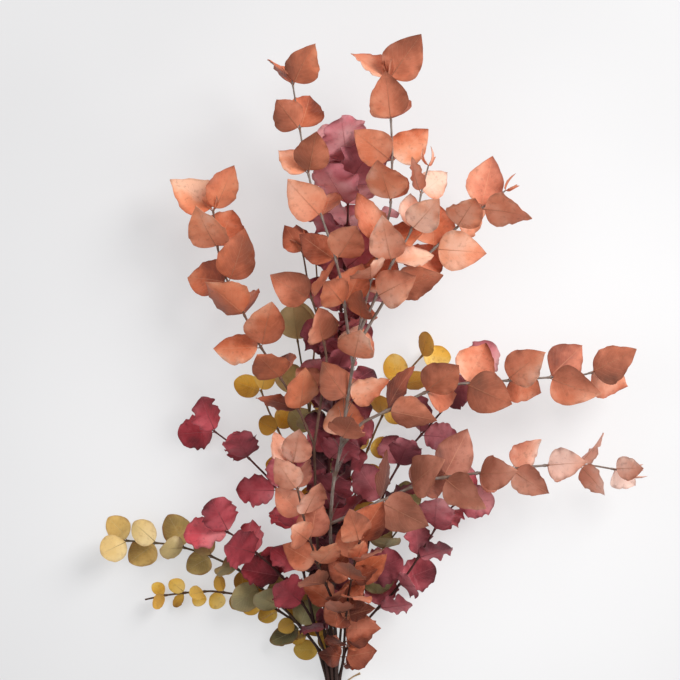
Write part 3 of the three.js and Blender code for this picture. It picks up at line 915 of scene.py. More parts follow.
@dataclass
class BladeMaker:
    """Makes the closed blades of one kind of leaf. Its first two numbers paint shade and light across and
    along a blade.
    """

    form: LeafForm
    lean: float = 0.2
    shade_along: float = 0.4
    shade_across_seed: float = 57
    shade_along_seed: float = 91
    edge_thinning: float = 0.4
    tip_thickness: float = 0.3
    lowest: float = 0.02
    rib_span: tuple[float, float] = (0.04, 0.95)
    rib_rings: int = 11
    rib_sides: int = 5
    rib_depth: float = 0.55
    stalk_radii: tuple[float, float] = (1.7, 1.35)
    rib_radii: tuple[float, float] = (1.15, 0.3)

    def __post_init__(self) -> None:
        """Works out the grid and the faces that all blades of the kind share."""
        rows, columns = self.form.rows, self.form.columns
        u = np.arange(rows) / rows
        self.s = np.repeat((0.5 - 0.5 * np.cos(math.pi * u))[:, None], columns, axis=1)
        self.v = np.repeat(np.linspace(-1, 1, columns)[None, :], rows, axis=0)
        grid = grid_faces(rows, columns, False)
        size = rows * columns
        tip = 2 * size
        left = np.arange(rows) * columns
        right = left + columns - 1
        first = np.arange(columns)
        last = first + (rows - 1) * columns
        ends = np.array([
            [last[0], tip, tip + 1, last[0] + size],
            [tip, last[-1], last[-1] + size, tip + 1],
        ])
        self.faces = np.concatenate([
            grid, grid[:, ::-1] + size,
            band(left, size), band(right, size)[:, ::-1], band(first, size)[:, ::-1],
            fan(last, tip), fan(last, tip + 1 - size)[:, [0, 2, 1, 1]] + size, ends,
        ])
        border = np.concatenate([np.stack([edge[:-1], edge[1:]], axis=1) for edge in (left, right, first)])
        tips = np.array([[corner + k * size, tip + k] for k in (0, 1) for corner in (last[0], last[-1])])
        self.creases = np.concatenate([border, border + size, tips])

    def add(self, parts: MeshParts, leaf: Leaf, tone: float, dye: float) -> None:
        """Adds a leaf: its blade, and its stalk and rib in one slim tube.

        Args:
            parts: Where it goes.
            leaf: The leaf.
            tone: How pale it is, from 0 to 1.
            dye: Its hue, from 0 to 1.
        """
        normal = self.add_blade(parts, leaf, tone, dye)
        self.add_rib(parts, leaf, tone, dye, normal)

    def add_blade(self, parts: MeshParts, leaf: Leaf, tone: float, dye: float) -> np.ndarray:
        """Adds a leaf's blade.

        Args:
            parts: Where it goes.
            leaf: The leaf.
            tone: How pale it is, from 0 to 1.
            dye: Its hue, from 0 to 1.

        Returns:
            The directions out of the blade along its middle, one for each row.
        """
        form = self.form
        middle = leaf.surface(self.s, self.v, True)
        lengthwise = np.gradient(middle, axis=0)
        crosswise = np.gradient(middle, axis=1)
        normal = np.cross(crosswise, lengthwise)
        size = np.linalg.norm(normal, axis=-1, keepdims=True)
        normal = np.where(size > 1e-6, normal / np.maximum(size, 1e-6), leaf.face)
        half = 0.5 * form.thickness * (1 - self.edge_thinning * np.abs(self.v) ** 4)[..., None]
        tip = leaf.surface(np.array([1.0]), np.array([0.0]), True)
        tip_half = self.tip_thickness * form.thickness * normal[-1, form.columns // 2]
        points = np.concatenate([
            (middle + normal * half).reshape(-1, 3), (middle - normal * half).reshape(-1, 3),
            tip + tip_half, tip - tip_half,
        ])
        points[:, 2] = np.maximum(points[:, 2], self.lowest)
        flat_s, flat_v = self.s.ravel(), self.v.ravel()
        # painted shade and light: one side and one end of each blade darker, the other lighter
        lean = self.lean * math.sin(leaf.seed * self.shade_across_seed)
        shade_along = self.shade_along * math.sin(leaf.seed * self.shade_along_seed + 1)
        shade = tone + lean * flat_v + shade_along * (flat_s - 0.5)
        tip_shade = tone + shade_along / 2
        blade = {
            "along": np.concatenate([flat_s, flat_s, [1.0, 1.0]]),
            "across": np.concatenate([flat_v, flat_v, [0.0, 0.0]]),
            "under": np.concatenate([np.zeros(len(flat_s)), np.ones(len(flat_s)), [0.0, 1.0]]),
            "tone": np.concatenate([shade, shade, [tip_shade, tip_shade]]),
            "dye": np.array(dye),
            "stalk": np.array(0.0),
            "around": np.array(0.0),
            "core": np.array(0.0),
        }
        parts.add(points, self.faces, blade, self.creases)
        return normal[:, form.columns // 2]

    def add_rib(self, parts: MeshParts, leaf: Leaf, tone: float, dye: float, normal: np.ndarray) -> None:
        """Adds a leaf's stalk, which runs on as the rib under its blade.

        Args:
            parts: Where it goes.
            leaf: The leaf.
            tone: How pale it is, from 0 to 1.
            dye: Its hue, from 0 to 1.
            normal: The directions out of the blade along its middle, one for each row.
        """
        form = self.form
        s = np.linspace(*self.rib_span, self.rib_rings)
        row = np.clip(np.searchsorted(self.s[:, 0], s), 0, form.rows - 1)
        rib = leaf.surface(s, np.zeros_like(s), True) - normal[row] * form.thickness * self.rib_depth
        line = np.concatenate([leaf.root[None], (leaf.root * 0.35 + leaf.base * 0.65)[None], rib])
        radius = form.rib_radius * np.concatenate([self.stalk_radii, np.linspace(*self.rib_radii, len(s))])
        line[:, 2] = np.maximum(line[:, 2], radius + self.lowest)
        stalk = np.concatenate([[1.0, 1.0], np.linspace(0.5, 0.0, len(s))])
        ones = np.ones(len(line))
        tube(parts, line, radius, self.rib_sides, {
            "along": np.concatenate([[0.0, 0.0], s]), "across": 0 * ones, "under": ones,
            "tone": tone * ones, "dye": dye * ones, "stalk": stalk,
        })


def srgb(colour: Colour) -> tuple[float, float, float, float]:
    """A linear, opaque colour from the usual 0 to 255 numbers."""
    linear = [c / 255 / 12.92 if c <= 10 else ((c / 255 + 0.055) / 1.055) ** 2.4 for c in colour]
    return (*linear, 1.0)


Socket = bpy.types.NodeSocket
Outputs = bpy.types.NodeOutputs


@dataclass
class Graph:
    """Adds nodes to a node tree and joins them."""

    tree: bpy.types.NodeTree

    def feed(self, socket: Socket, value: object) -> None:
        """Gives a socket a value or joins it to another socket.

        Args:
            socket: The input.
            value: A socket, number or tuple.
        """
        if isinstance(value, bpy.types.NodeSocket):
            self.tree.links.new(value, socket)
        elif value is not None:
            socket.default_value = value

    def node(
        self, kind: str, inputs: dict[object, object] | None = None, **settings: object
    ) -> bpy.types.Node:
        """Adds a node.

        Args:
            kind: Its type.
            inputs: What its inputs get, by name or number.
            settings: Its settings.

        Returns:
            The node.
        """
        made = self.tree.nodes.new(kind)
        for name, value in settings.items():
            setattr(made, name, value)
        for name, value in (inputs or {}).items():
            self.feed(made.inputs[name], value)
        return made

    def math(self, operation: str, a: object, b: object = None, c: object = None) -> Socket:
        """The result of a sum on two or three values."""
        return self.node("ShaderNodeMath", {0: a, 1: b, 2: c}, operation=operation).outputs[0]

    def product(self, a: object, b: object) -> Socket:
        """The product of two values."""
        return self.math("MULTIPLY", a, b)

    def away(self, value: object, middle: float) -> Socket:
        """How far a value is from a middle one."""
        return self.math("ABSOLUTE", self.math("SUBTRACT", value, middle))

    def span(self, value: object, low: float, high: float, start: float = 0.0, end: float = 1.0) -> Socket:
        """A value that goes smoothly from start to end as another goes from low to high."""
        inputs = {"Value": value, "From Min": low, "From Max": high, "To Min": start, "To Max": end}
        return self.node("ShaderNodeMapRange", inputs, interpolation_type="SMOOTHSTEP").outputs[0]

    def blend(self, share: object, a: object, b: object, how: str = "MIX") -> Socket:
        """Two colours blended by a share.

        Args:
            share: The share of the second colour.
            a: The first colour.
            b: The second colour.
            how: The kind of blend.

        Returns:
            The blended colour.
        """
        made = self.node("ShaderNodeMix", data_type="RGBA", blend_type=how, clamp_factor=True)
        self.feed(made.inputs[0], share)
        self.feed(made.inputs[6], a)
        self.feed(made.inputs[7], b)
        return made.outputs[2]

    def value(self, name: str) -> Socket:
        """A point value of the mesh."""
        return self.node("ShaderNodeAttribute", attribute_name=name).outputs["Fac"]

    def place(self) -> Socket:
        """The place on the piece, in metres."""
        return self.node("ShaderNodeTexCoord").outputs["Object"]

    def noise(self, at: Socket, scale: float, detail: float = 2.0, roughness: float = 0.5) -> Socket:
        """Soft noise from 0 to 1."""
        inputs = {"Vector": at, "Scale": scale, "Detail": detail, "Roughness": roughness}
        return self.node("ShaderNodeTexNoise", inputs).outputs["Fac"]

    def ramp(self, value: Socket, colours: tuple[Colour, ...]) -> Socket:
        """Colours spread evenly over values from 0 to 1.

        Args:
            value: The value.
            colours: The colours, from the one at 0 to the one at 1.

        Returns:
            The colour at the value.
        """
        made = self.node("ShaderNodeValToRGB", {"Fac": value})
        stops = made.color_ramp.elements
        while len(stops) < len(colours):
            stops.new(0.5)
        for i, colour in enumerate(colours):
            stops[i].position = i / (len(colours) - 1)
            stops[i].color = srgb(colour)
        return made.outputs["Color"]


def new_group(
    name: str, inputs: dict[str, float], outputs: tuple[str, ...]
) -> tuple[Graph, bpy.types.Node, bpy.types.Node]:
    """Starts a node group whose sockets are all numbers.

    Args:
        name: The group's name.
        inputs: Its inputs with their usual values.
        outputs: Its outputs.

    Returns:
        The graph, the input node and the output node.
    """
    tree = bpy.data.node_groups.new(name, "ShaderNodeTree")
    for label, value in inputs.items():
        tree.interface.new_socket(label, in_out="INPUT", socket_type="NodeSocketFloat").default_value = value
    for label in outputs:
        tree.interface.new_socket(label, in_out="OUTPUT", socket_type="NodeSocketFloat")
    graph = Graph(tree)
    return graph, graph.node("NodeGroupInput"), graph.node("NodeGroupOutput")


def new_material(name: str) -> tuple[bpy.types.Material, Graph, bpy.types.Node]:
    """Starts a material.

    Args:
        name: The material's name.

    Returns:
        The material, its graph and its shader.
    """
    made = bpy.data.materials.new(name)
    made.use_nodes = True
    return made, Graph(made.node_tree), made.node_tree.nodes["Principled BSDF"]


class Effects:
    """The node groups that several materials share."""

    def __init__(self) -> None:
        """Builds each group once."""
        self.veins = self.make_veins()
        self.mottle = self.make_mottle()
        self.fibres = self.make_fibres()

    def make_veins(self) -> bpy.types.NodeTree:
        """A leaf's net of veins: its rib, side veins that run into a vein along the edge, and a fine net.

        Returns:
            The group, which puts out the rib, all other veins, and how far they stand out.
        """
        graph, given, out = new_group(
            "leaf veins", {"Side veins": 16.0, "Slant": 0.4, "Net size": 520.0}, ("Rib", "Veins", "Height")
        )
        place = graph.place()
        wander = graph.product(graph.math("SUBTRACT", graph.noise(place, 130, 2), 0.5), 0.07)
        beside = graph.math("ABSOLUTE", graph.value("across"))
        rib = graph.span(beside, 0.0, 0.04, 1.0, 0.0)
        bent = graph.product(graph.math("POWER", beside, 1.25), given.outputs["Slant"])
        climb = graph.math("SUBTRACT", graph.math("ADD", graph.value("along"), wander), bent)
        rank = graph.product(climb, given.outputs["Side veins"])
        off = graph.away(graph.math("FRACT", rank), 0.5)
        inside = graph.span(beside, 0.84, 0.92, 1.0, 0.0)
        side = graph.product(graph.span(off, 0.0, 0.11, 1.0, 0.0), inside)
        rim = graph.span(graph.away(beside, 0.88), 0.0, 0.03, 1.0, 0.0)
        cells = graph.node(
            "ShaderNodeTexVoronoi", {"Vector": place, "Scale": given.outputs["Net size"]},
            feature="DISTANCE_TO_EDGE",
        ).outputs["Distance"]
        net = graph.span(cells, 0.0, 0.09, 1.0, 0.0)
        main = graph.math("MAXIMUM", side, graph.product(rim, 0.7))
        veins = graph.math("MAXIMUM", main, graph.product(net, 0.3))
        height = graph.math("MULTIPLY_ADD", main, 0.5, graph.product(net, 0.2))
        graph.feed(out.inputs["Rib"], rib)
        graph.feed(out.inputs["Veins"], veins)
        graph.feed(out.inputs["Height"], graph.math("MULTIPLY_ADD", rib, 0.6, height))
        return graph.tree

    def make_mottle(self) -> bpy.types.NodeTree:
        """Uneven dye: broad clouds, small blotches and tiny glands, and a dry rim.

        Returns:
            The group, which puts out one mask for each.
        """
        graph, _, out = new_group("uneven dye", {}, ("Clouds", "Blotches", "Glands", "Rim"))
        place = graph.place()
        clouds = graph.span(graph.noise(place, 38, 3, 0.55), 0.3, 0.7)
        blotches = graph.span(graph.noise(place, 210, 4, 0.6), 0.52, 0.72)
        glands = graph.span(graph.noise(place, 1500, 1), 0.66, 0.74)
        edge = graph.span(graph.math("ABSOLUTE", graph.value("across")), 0.72, 1.02)
        tip = graph.span(graph.value("along"), 0.86, 1.0)
        broken = graph.span(graph.noise(place, 90, 3, 0.6), 0.35, 0.65, 0.25, 1.0)
        graph.feed(out.inputs["Clouds"], clouds)
        graph.feed(out.inputs["Blotches"], blotches)
        graph.feed(out.inputs["Glands"], glands)
        graph.feed(out.inputs["Rim"], graph.product(graph.math("MAXIMUM", edge, tip), broken))
        return graph.tree

    def make_fibres(self) -> bpy.types.NodeTree:
        """Long fibres along a tube, for bark and twine.

        Returns:
            The group, which puts out the fibres and broad patches.
        """
        graph, given, out = new_group(
            "long fibres", {"Around": 9.0, "Along": 0.12}, ("Fibres", "Patches")
        )
        around = graph.product(graph.value("around"), TAU)
        x = graph.product(graph.math("COSINE", around), given.outputs["Around"])
        y = graph.product(graph.math("SINE", around), given.outputs["Around"])
        z = graph.product(graph.value("run"), given.outputs["Along"])
        at = graph.node("ShaderNodeCombineXYZ", {0: x, 1: y, 2: z}).outputs[0]
        graph.feed(out.inputs["Fibres"], graph.noise(at, 1.0, 4, 0.6))
        graph.feed(out.inputs["Patches"], graph.noise(graph.place(), 90, 3, 0.6))
        return graph.tree


@dataclass(frozen=True)
class LeafFinish:
    """How one kind of dyed leaf looks. Each palette runs from its deepest to its palest tone."""

    name: str
    palette: tuple[Colour, ...]
    other_palette: tuple[Colour, ...]
    under: Colour
    rim: Colour
    vein: Colour
    stalk: Colour
    under_share: float
    rim_share: float
    vein_share: float
    side_veins: float
    roughness: float
    see_through: float
    tone_clouds: float = 0.26
    dye_clouds: float = 0.3
    blotch_share: float = 0.28
    rib_share: float = 0.3
    gland_share: float = 0.14
    rough_spread: float = 0.08
    specular: float = 0.38
    sheen: float = 0.08
    through_tint: tuple[float, float, float, float] = (1.0, 0.82, 0.7, 1.0)

    def material(self, effects: Effects) -> bpy.types.Material:
        """Makes the material.

        Args:
            effects: The shared node groups.

        Returns:
            The material.
        """
        made, graph, shader = new_material(self.name)
        net = {"Side veins": self.side_veins}
        veins = graph.node("ShaderNodeGroup", net, node_tree=effects.veins).outputs
        mottle = graph.node("ShaderNodeGroup", node_tree=effects.mottle).outputs
        colour = self.colour(graph, veins, mottle)
        height = graph.math("MULTIPLY_ADD", graph.noise(graph.place(), 700, 3), 0.5, veins["Height"])
        relief = {"Strength": 0.45, "Distance": 0.0004, "Height": height}
        bump = graph.node("ShaderNodeBump", relief).outputs[0]
        smoothest, roughest = self.roughness - self.rough_spread, self.roughness + self.rough_spread
        graph.feed(shader.inputs["Base Color"], colour)
        graph.feed(shader.inputs["Roughness"], graph.span(mottle["Clouds"], 0.0, 1.0, smoothest, roughest))
        graph.feed(shader.inputs["Normal"], bump)
        shader.inputs["Specular IOR Level"].default_value = self.specular
        shader.inputs["Sheen Weight"].default_value = self.sheen
        lit = graph.blend(1.0, colour, self.through_tint, "MULTIPLY")
        through = graph.node("ShaderNodeBsdfTranslucent", {"Color": lit, "Normal": bump}).outputs[0]
        both = graph.node("ShaderNodeMixShader", {0: self.see_through, 1: shader.outputs[0], 2: through})
        graph.feed(made.node_tree.nodes["Material Output"].inputs["Surface"], both.outputs[0])
        return made

    def colour(self, graph: Graph, veins: Outputs, mottle: Outputs) -> Socket:
        """The leaf's colour: two dyed palettes with blotches, a dry rim, a pale underside and veins.

        Args:
            graph: The material's graph.
            veins: What the group of veins puts out.
            mottle: What the group of uneven dye puts out.

        Returns:
            The colour.
        """
        cloud = graph.math("MULTIPLY_ADD", mottle["Clouds"], self.tone_clouds, -self.tone_clouds / 2)
        tone = graph.math("ADD", graph.value("tone"), cloud)
        plain_dye = graph.math("SUBTRACT", graph.value("dye"), self.dye_clouds / 2)
        dye = graph.math("MULTIPLY_ADD", mottle["Clouds"], self.dye_clouds, plain_dye)
        colour = graph.blend(dye, graph.ramp(tone, self.palette), graph.ramp(tone, self.other_palette))
        layers = (
            (mottle["Blotches"], self.blotch_share, self.rim),
            (mottle["Rim"], self.rim_share, self.rim),
            (graph.value("under"), self.under_share, self.under),
            (veins["Veins"], self.vein_share, self.vein),
            (veins["Rib"], self.rib_share, self.vein),
            (mottle["Glands"], self.gland_share, self.rim),
            (graph.value("stalk"), 1.0, self.stalk),
        )
        for mask, share, over in layers:
            colour = graph.blend(graph.product(mask, share), colour, srgb(over))
        return colour


LEAF_FINISHES = {
    LeafKind.APRICOT: LeafFinish(
        name="apricot leaf",
        palette=((98, 40, 25), (162, 74, 44), (219, 118, 77), (241, 158, 116), (250, 200, 168)),
        other_palette=((130, 72, 58), (180, 110, 90), (219, 153, 132), (242, 192, 172), (252, 224, 212)),
        under=(208, 144, 114), rim=(120, 52, 30), vein=(240, 176, 138), stalk=(158, 96, 68),
        under_share=0.22, rim_share=0.5, vein_share=0.1, side_veins=8, roughness=0.55, see_through=0.26,
    ),
    LeafKind.BURGUNDY: LeafFinish(
        name="burgundy leaf",
        palette=((56, 17, 22), (118, 32, 42), (182, 54, 66), (222, 86, 98), (238, 136, 142)),
        other_palette=((72, 38, 48), (136, 72, 84), (188, 112, 122), (222, 148, 156), (238, 186, 188)),
        under=(184, 98, 110), rim=(58, 18, 22), vein=(214, 120, 126), stalk=(96, 36, 36),
        under_share=0.22, rim_share=0.55, vein_share=0.12, side_veins=8, roughness=0.54, see_through=0.25,
    ),
    LeafKind.YELLOW: LeafFinish(
        name="yellow leaf",
        palette=((146, 98, 20), (200, 144, 34), (236, 184, 56), (248, 210, 92), (252, 228, 140)),
        other_palette=((104, 92, 38), (146, 128, 54), (180, 158, 72), (206, 184, 98), (226, 206, 132)),
        under=(236, 198, 110), rim=(140, 84, 28), vein=(248, 222, 146), stalk=(148, 108, 50),
        under_share=0.3, rim_share=0.35, vein_share=0.18, side_veins=9, roughness=0.6, see_through=0.28,
    ),
    LeafKind.OLIVE: LeafFinish(
        name="olive leaf",
        palette=((78, 74, 46), (112, 105, 66), (146, 137, 92), (178, 166, 116), (206, 192, 142)),
        other_palette=((132, 98, 50), (182, 142, 72), (222, 182, 100), (240, 206, 128), (248, 224, 164)),
        under=(186, 174, 136), rim=(146, 86, 44), vein=(216, 202, 154), stalk=(124, 94, 56),
        under_share=0.3, rim_share=0.6, vein_share=0.18, side_veins=10, roughness=0.62, see_through=0.22,
    ),
}


@dataclass(frozen=True)
class FibreFinish:
    """How bark or twine looks, with painted shade that darkens it towards the cut ends, between two lengths
    along the bunch in metres.
    """

    name: str
    dark: Colour
    light: Colour
    patch: Colour
    end: Colour
    around: float
    along: float
    roughness: float
    relief: float
    # painted shade towards the cut ends: its colour, where it is deepest, where it starts and how strong it
    # is
    base_shade: Colour = (54, 35, 31)
    base_shade_from: float = -0.28
    base_shade_until: float = -0.1
    base_shade_share: float = 0.92
    rough_spread: float = 0.1
    specular: float = 0.3

    def material(self, effects: Effects) -> bpy.types.Material:
        """Makes the material.

        Args:
            effects: The shared node groups.

        Returns:
            The material.
        """
        made, graph, shader = new_material(self.name)
        sizes = {"Around": self.around, "Along": self.along}
        group = graph.node("ShaderNodeGroup", sizes, node_tree=effects.fibres)
        fibres = group.outputs["Fibres"]
        along_bunch = graph.node("ShaderNodeSeparateXYZ", {0: graph.place()}).outputs["Y"]
        colour = graph.blend(graph.span(fibres, 0.3, 0.7), srgb(self.dark), srgb(self.light))
        layers = (
            (graph.span(group.outputs["Patches"], 0.45, 0.65, 0.0, 0.7), self.patch),
            # painted shade: darker towards the cut ends, where the leaves shade the stems
            (graph.span(along_bunch, self.base_shade_from, self.base_shade_until, self.base_shade_share, 0.0), self.base_shade),
            (graph.span(graph.value("core"), 0.05, 0.25), self.end),
        )
        for mask, over in layers:
            colour = graph.blend(mask, colour, srgb(over))
        relief = {"Strength": 0.8, "Distance": self.relief, "Height": fibres}
        smoothest, roughest = self.roughness - self.rough_spread, self.roughness + self.rough_spread
        graph.feed(shader.inputs["Base Color"], colour)
        graph.feed(shader.inputs["Roughness"], graph.span(fibres, 0.2, 0.8, smoothest, roughest))
        graph.feed(shader.inputs["Normal"], graph.node("ShaderNodeBump", relief).outputs[0])
        shader.inputs["Specular IOR Level"].default_value = self.specular
        return made


BARK_FINISHES = {
    Bark.GREY: FibreFinish(
        name="grey bark", dark=(84, 72, 66), light=(156, 143, 135), patch=(112, 86, 70), end=(196, 164, 122),
        around=3.0, along=0.1, roughness=0.78, relief=0.0005, base_shade_from=-0.26, base_shade_until=-0.16,
    ),
    Bark.BROWN: FibreFinish(
        name="brown bark", dark=(78, 54, 44), light=(132, 102, 86), patch=(96, 64, 48), end=(196, 164, 122),
        around=3.0, along=0.1, roughness=0.78, relief=0.0005, base_shade_from=-0.26, base_shade_until=0.02,
    ),
    Bark.RED: FibreFinish(
        name="dark red bark", dark=(52, 22, 22), light=(104, 52, 48), patch=(74, 32, 30), end=(182, 142, 104),
        around=3.0, along=0.1, roughness=0.72, relief=0.0004,
    ),
    Bark.OCHRE: FibreFinish(
        name="ochre bark", dark=(88, 60, 34), light=(146, 110, 64), patch=(112, 78, 44), end=(200, 168, 116),
        around=3.0, along=0.1, roughness=0.74, relief=0.0004,
    ),
    Bark.OLIVE: FibreFinish(
        name="olive bark", dark=(70, 58, 40), light=(126, 108, 76), patch=(98, 74, 50), end=(192, 164, 116),
        around=3.0, along=0.1, roughness=0.76, relief=0.0004,
    ),
}
TWINE_FINISH = FibreFinish(
    name="jute twine", dark=(112, 82, 50), light=(196, 164, 116), patch=(150, 116, 74), end=(196, 168, 124),
    around=2.0, along=0.6, roughness=0.88, relief=0.0003, base_shade_share=0.0,
)


def solid_corners(name: str) -> list[Vector]:
    """A solid's corners in mm from the cut ends.

    Args:
        name: Its node's name.

    Returns:
        The corners, in the order of its mesh.
    """
    return [Vector(np.array(vertex.co) / MM + ORIGIN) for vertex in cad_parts[name].data.vertices]


class Room:
    """The room that the solids leave for small leaves deep in the bunch."""

    rows: ClassVar[int] = 10
    columns: ClassVar[int] = 6

    def __init__(self) -> None:
        """Joins all solids into one tree that can be searched."""
        points: list[Vector] = []
        faces: list[list[int]] = []
        for name in [*(stem.name for stem in STEMS), TWINE_NODE]:
            start = len(points)
            points.extend(solid_corners(name))
            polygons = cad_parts[name].data.polygons
            faces.extend([start + i for i in face.vertices] for face in polygons)
        self.taken = [BVHTree.FromPolygons(points, faces)]

    def takes(self, leaf: Leaf) -> bool:
        """Takes a leaf in, if it crosses nothing.

        Args:
            leaf: The leaf.

        Returns:
            Whether there was room.
        """
        lengthwise = np.linspace(0.01, 0.99, self.rows)
        s, v = np.meshgrid(lengthwise, np.linspace(-1, 1, self.columns), indexing="ij")
        points = leaf.surface(s, v, False).reshape(-1, 3)
        blade = BVHTree.FromPolygons(points.tolist(), grid_faces(self.rows, self.columns, False).tolist())
        if any(blade.overlap(other) for other in self.taken):
            return False
        self.taken.append(blade)
        return True


@dataclass
class LeafyStem:
    """A cut branch with its shoots and leaves, as two pieces."""

    number: int
    stem: Stem
    room: Room
    inner_line: int = 10
    # painted shade: the inner leaves are made darker, as the heart of the bunch lies in shade
    inner_shade: float = -0.12
    curls: int = 3
    curl_lengths: tuple[float, float] = (12.0, 22.0)
    curl_lean: tuple[float, float] = (0.4, 1.1)
    curl_arch: tuple[float, float] = (-0.6, 1.0)
    tone_spread: tuple[float, float] = (-0.36, 0.24)
    tone_power: float = 0.7
    dye_spread: float = 0.15
    match_gap: float = 0.01
    match_share: float = 0.5
    peel: Fray = Fray(64, 1.4, (1.0, 8.0), (8.0, 24.0), (0.18, 0.55), 11)
    peeled: tuple[float, float] = (110.0, 400.0)
    wood_step: float = 2.2
    wood_sides: int = 10
    node_swell: float = 0.45
    node_width: float = 1.6
    bark_relief: float = 0.035
    bark_waves: tuple[float, float] = (0.9, 0.31)

    def line(self, number: int, part: Stem | Shoot, points: np.ndarray, tip_radius: float) -> Line:
        """The line of the stem or of one of its shoots.

        Args:
            number: 0 for the stem, or the shoot's number.
            part: The stem or the shoot.
            points: Its middle line.
            tip_radius: Its radius at the tip.

        Returns:
            The line.
        """
        return Line(
            self.number, number, self.stem.kind, points, part.radius, tip_radius, part.pairs, part.tint
        )

    def lines(self) -> list[Line]:
        """The stem's own line and its shoots' lines.

        Returns:
            The lines, the stem's first.
        """
        trunk = np.array(self.stem.route, float)
        found = [self.line(0, self.stem, trunk, STEM_TIP_RADIUS)]
        for i, shoot in enumerate(self.stem.shoots):
            points = np.concatenate([[place_on(trunk, shoot.at).point], np.array(shoot.route, float)])
            found.append(self.line(i + 1, shoot, points, SHOOT_TIP_RADIUS))
        return found

    def corners(self) -> kdtree.KDTree:
        """The solid's corners, ready to be searched.

        Returns:
            The tree of its corners in mm.
        """
        found = solid_corners(self.stem.name)
        tree = kdtree.KDTree(len(found))
        for i, corner in enumerate(found):
            tree.insert(corner, i)
        tree.balance()
        return tree

    def grown(self, line: Line, pair: int, member: int, corners: kdtree.KDTree) -> Leaf | None:
        """The leaf as the solid holds it.

        Args:
            line: The line that it grows on.
            pair: The pair's number.
            member: 0 or 1, the leaf in the pair.
            corners: The solid's corners.

        Returns:
            The leaf in the direction whose edge points lie half a thickness from the solid's corners, or
            None if the solid left it out.
        """
        best, most = None, self.match_share
        for attempt in range(MOST_TRIES):
            leaf = line.leaf(pair, member, attempt)
            stations = leaf.form.stations
            s = np.array([*stations, *stations, 1.0])
            v = np.array([*[-1.0] * len(stations), *[1.0] * len(stations), 0.0])
            half = leaf.form.solid_thickness / 2
            gaps = [abs(corners.find(Vector(p))[2] - half) for p in leaf.surface(s, v, False)]
            share = sum(gap < self.match_gap for gap in gaps) / len(gaps)
            if share > most:
                best, most = leaf, share
        return best

    def colour(self, line: Line, pair: int, member: int) -> tuple[float, float]:
        """The tone and the hue of a leaf.

        Args:
            line: The line that it grows on.
            pair: The pair's number.
            member: 0 or 1, the leaf in the pair.

        Returns:
            Its tone and its dye.
        """
        share = pair / (line.pairs.count - 1)
        draw = chance(self.number, line.shoot, 2 * pair + member, TONE_TRAIT)
        other = chance(self.number, line.shoot, 2 * pair + member, DYE_TRAIT)
        tone = mix(*line.tint.tone, share) + mix(*self.tone_spread, draw**self.tone_power)
        return tone, mix(*line.tint.dye, share) + mix(-self.dye_spread, self.dye_spread, other)

    def add_inner(self, parts: MeshParts, maker: BladeMaker, trunk: Line) -> int:
        """Adds the small leaves that fill the heart of the bunch, where there is room.

        Args:
            parts: Where they go.
            maker: The maker of the blades.
            trunk: The stem's own line.

        Returns:
            How many there are.
        """
        line = replace(trunk, shoot=self.inner_line, pairs=self.stem.inner)
        found = 0
        for pair in range(line.pairs.count):
            for member in (0, 1):
                tries = (line.leaf(pair, member, attempt) for attempt in range(MOST_TRIES))
                leaf = next((leaf for leaf in tries if self.room.takes(leaf)), None)
                if leaf is None:
                    continue
                found += 1
                tone, dye = self.colour(line, pair, member)
                # painted shade makes the inner leaves darker
                maker.add(parts, leaf, tone + self.inner_shade, dye)
        return found

    def add_curls(self, parts: MeshParts, line: Line) -> None:
        """Adds the narrow dry leaves that curl at a line's tip.

        Args:
            parts: Where they go.
            line: The line.
        """
        maker = BladeMaker(CURLED)
        tip = place_on(line.points, math.inf)
        for k in range(self.curls):
            draws = [chance(line.stem, line.shoot, k, CURL_TRAIT + trait) for trait in range(6)]
            around = TAU * (k / self.curls + 0.2 * draws[0])
            outward = tip.side * math.cos(around) + tip.above * math.sin(around)
            axis = unit(tip.along + outward * mix(*self.curl_lean, draws[1]))
            face = unit(outward - axis * (axis @ outward))
            leaf = Leaf(
                form=CURLED,
                root=tip.point,
                base=tip.point + axis * CURLED.stalk,
                length=mix(*self.curl_lengths, draws[2]),
                sink=0.0,
                axis=axis,
                face=face,
                across=np.cross(axis, face),
                arch=CURLED.arch * mix(*self.curl_arch, draws[3]),
                cup=CURLED.cup,
                twist=CURLED.twist * mix(-1, 1, draws[4]) * DEGREE,
                swing=0.0,
                seed=draws[5],
            )
            tone, dye = self.colour(line, line.pairs.count - 1, k)
            maker.add(parts, leaf, tone, dye)

    def build_leaves(self, lines: list[Line]) -> bpy.types.Object:
        """Makes the piece that holds the leaves.

        Args:
            lines: The stem's lines.

        Returns:
            The piece.
        """
        parts = MeshParts()
        maker = BladeMaker(FORMS[self.stem.kind])
        corners = self.corners()
        found = 0
        for line in lines:
            for pair in range(line.pairs.count):
                for member in (0, 1):
                    leaf = self.grown(line, pair, member, corners)
                    if leaf is None:
                        continue
                    found += 1
                    maker.add(parts, leaf, *self.colour(line, pair, member))
        LOG.info("%s: %d leaves of %d", self.stem.name, found, 2 * sum(line.pairs.count for line in lines))
        if self.stem.inner:
            LOG.info("%s: %d inner leaves", self.stem.name, self.add_inner(parts, maker, lines[0]))
        if self.stem.kind is LeafKind.APRICOT:
            for line in lines:
                self.add_curls(parts, line)
        return parts.build(self.stem.name + "_leaves")

    def unevenness(self, run: np.ndarray, shoot: int) -> np.ndarray:
        """How the bark swells and sinks along and round the wood.

        Args:
            run: The length along the line at each ring, in mm.
            shoot: The line's number.

        Returns:
            A factor on the radius for each ring and side.
        """
        run = run[:, None]
        angle = TAU * np.arange(self.wood_sides)[None, :] / self.wood_sides
        short, long = self.bark_waves
        rough = np.sin(run * short + 3 * np.sin(angle * 2 + shoot))
        rough = rough + 0.7 * np.sin(run * long + angle * 3 + self.number)
        return 1 + self.bark_relief * rough

